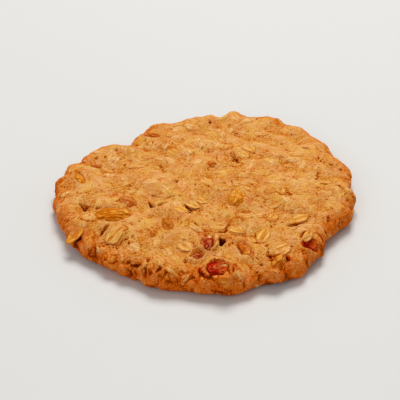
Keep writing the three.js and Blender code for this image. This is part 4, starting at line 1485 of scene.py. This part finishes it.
def oat_skin():
    oats = Finish("oat_skin")
    rim = oats.tint("edge")
    lines = oats.noise(0.7, 3, 0.6, oats.oat_place())
    fleck = oats.noise(1.6, 3, 0.6)
    # The ridge tint is painted light on the crests and painted shade in the split.
    tone = OAT["middle"] + oats.tint("ridge").ramp(0.1, 0.9) * OAT["ridge"]
    tone += (0.5 - lines) * OAT["line"] + (0.5 - fleck) * OAT["fleck"]
    honeyed = oats.tones(tone, HONEY_TONES)
    colour = oats.mix(oats.tint("honey") * OAT_BLUSH["honey"], oats.tones(tone, OAT_TONES), honeyed)
    # Near the rim the oat and its film are warmed to honey and orange: browning and painted warm shade.
    colour = oats.mix(rim * OAT_BLUSH["rim honey"], colour, HONEY)
    dough = oats.tones(tone - OAT["film"], CRUST_TONES)
    dough = oats.mix(rim * OAT_BLUSH["rim film"], dough, ORANGE)
    colour = oats.mix(oats.tint("film"), colour, dough)
    # The brink and the underside are painted orange as warm shade.
    colour = oats.mix(oats.tint("brink") * OAT_BLUSH["brink"], colour, ORANGE)
    return oats.finish(
        Base_Color=colour,
        Roughness=0.45 + 0.2 * fleck,
        Subsurface_Weight=0.3,
        Subsurface_Radius=(1.0, 0.6, 0.3),
        Subsurface_Scale=0.001,
        Specular_IOR_Level=0.02,
        Specular_Tint=BUTTER,
        Normal=oats.bump(lines * 0.5 + fleck * 0.5, 0.5),
    )


def raisin_skin(name):
    row = SKINS[name]
    plump, creased, thin, riper = map(shade, (row.plump, row.creased, row.thin, row.riper))
    skin = Finish(f"raisin_skin_{name}")
    crease, low = skin.tint("crease"), skin.tint("low")
    blotch = skin.noise(2.4, 3).ramp(0.35, 0.7)
    wrinkle = abs(skin.noise(2.6, 3, 0.6) - 0.5).ramp(0.05, 0.0)
    colour = skin.mix(skin.tint("ripe").ramp(0.3, 0.8), plump, riper)
    colour = skin.mix(blotch * 0.6 * (1.0 - crease), colour, thin)
    colour = skin.mix(crease.ramp(0.25, 0.9), colour, creased)
    colour = skin.mix(wrinkle * 0.6, colour, creased)
    # Darker low down near the crust: painted shade, with juice gathering there.
    colour = skin.mix(low * 0.6, colour, creased)
    # Painted highlights where the pale tint is set.
    colour = skin.mix(skin.tint("pale") * 0.8, colour, GLEAM)
    film = skin.tones(0.46 + (0.5 - skin.noise(1.6, 3, 0.6)) * 0.9, CRUST_TONES)
    film = skin.mix(0.3 + 0.3 * low, film, riper)
    # Near the rim the film is warmed to orange: browning and painted warm shade.
    film = skin.mix(skin.tint("edge") * 0.6, film, ORANGE)
    filmed = skin.tint("film") * (0.9 - 0.75 * crease.ramp(0.45, 0.95))
    return skin.finish(
        Base_Color=skin.mix(filmed, colour, film),
        Roughness=0.3 + 0.2 * blotch,
        Subsurface_Weight=0.3,
        Subsurface_Radius=(1.0, 0.5, 0.2),
        Subsurface_Scale=0.0008,
        Specular_IOR_Level=0.03,
        Specular_Tint=BUTTER,
        Normal=skin.bump(skin.noise(0.7, 3, 0.6) - wrinkle * 0.8, 0.3),
    )


def crumb_crust():
    crumb = Finish("crumb_crust")
    colour = crumb.mix(crumb.noise(3).ramp(0.35, 0.65), TAN, TOASTED)
    bent = crumb.bump(crumb.noise(0.5), 0.2)
    return crumb.finish(Base_Color=colour, Roughness=0.62, Normal=bent)


def pale_table():
    return Finish("pale_table").finish(Base_Color=TABLE_GREY, Roughness=0.6)


# ---- Table, light and camera ----

LOOK_AT = (np.array([-1.8, -1.6, 6.0]) + POLE) / METRE
CAMERA_RISE = math.radians(34)
CAMERA_AWAY = 0.62
CAMERA_ROLL = math.radians(1.2)
FIELD = 0.1752  # how much the view takes in at the cookie's middle, in metres
SENSOR = 36.0
TABLE_REACH = 3.0
TABLE_DROP = 0.0001
SKY = 0.44  # strength of the even light from all round
LIGHTS = {  # where they stand, how wide they are and how strong
    "soft_box_behind": ((0.1, 0.8, 1.4), 0.8, 20),
    "soft_fill_front": ((-0.8, -1.4, 1.0), 1.0, 6.5),
}


def make_camera():
    back = Vector((0, -math.cos(CAMERA_RISE), math.sin(CAMERA_RISE)))
    right = Vector((1, 0, 0))
    up = back.cross(right)
    roll = Matrix.Rotation(CAMERA_ROLL, 3, back)
    facing = Matrix((roll @ right, roll @ up, back)).transposed().to_4x4()
    camera = bpy.data.objects.new("camera", bpy.data.cameras.new("camera"))
    camera.data.sensor_width = SENSOR
    camera.data.lens = SENSOR * CAMERA_AWAY / FIELD
    camera.matrix_world = Matrix.Translation(Vector(LOOK_AT) + back * CAMERA_AWAY) @ facing
    bpy.context.scene.collection.objects.link(camera)
    bpy.context.scene.camera = camera


def make_light(name, place, size, power):
    """A square soft light that faces the cookie."""
    lamp = bpy.data.lights.new(name, "AREA")
    lamp.size = size
    lamp.energy = power
    light = bpy.data.objects.new(name, lamp)
    light.location = place
    light.rotation_euler = (-Vector(place)).to_track_quat("-Z", "Y").to_euler()
    bpy.context.scene.collection.objects.link(light)


def make_table():
    table = bpy.data.meshes.new("table")
    corners = [(x * TABLE_REACH, y * TABLE_REACH, 0) for x, y in ((-1, -1), (1, -1), (1, 1), (-1, 1))]
    table.from_pydata(corners, [], [(0, 1, 2, 3)])
    table.materials.append(pale_table())
    floor = bpy.data.objects.new("table", table)
    floor.location.z = -TABLE_DROP
    bpy.context.scene.collection.objects.link(floor)


def make_daylight():
    for name, (place, size, power) in LIGHTS.items():
        make_light(name, place, size, power)
    world = bpy.data.worlds.new("studio")
    world.use_nodes = True
    sky = world.node_tree.nodes["Background"].inputs
    sky["Color"].default_value = (1, 1, 1, 1)
    sky["Strength"].default_value = SKY
    bpy.context.scene.world = world
    bpy.context.scene.view_settings.view_transform = "Standard"


make_camera()
make_table()
make_daylight()
make_dough(baked_crust())
make_oat_flakes(oat_skin())
skins = {name: raisin_skin(name) for name in SKINS}
for raisin_name, raisin_row in RAISINS.items():
    make_raisin(raisin_name, raisin_row, skins[raisin_row.skin])
make_crumbs(crumb_crust())
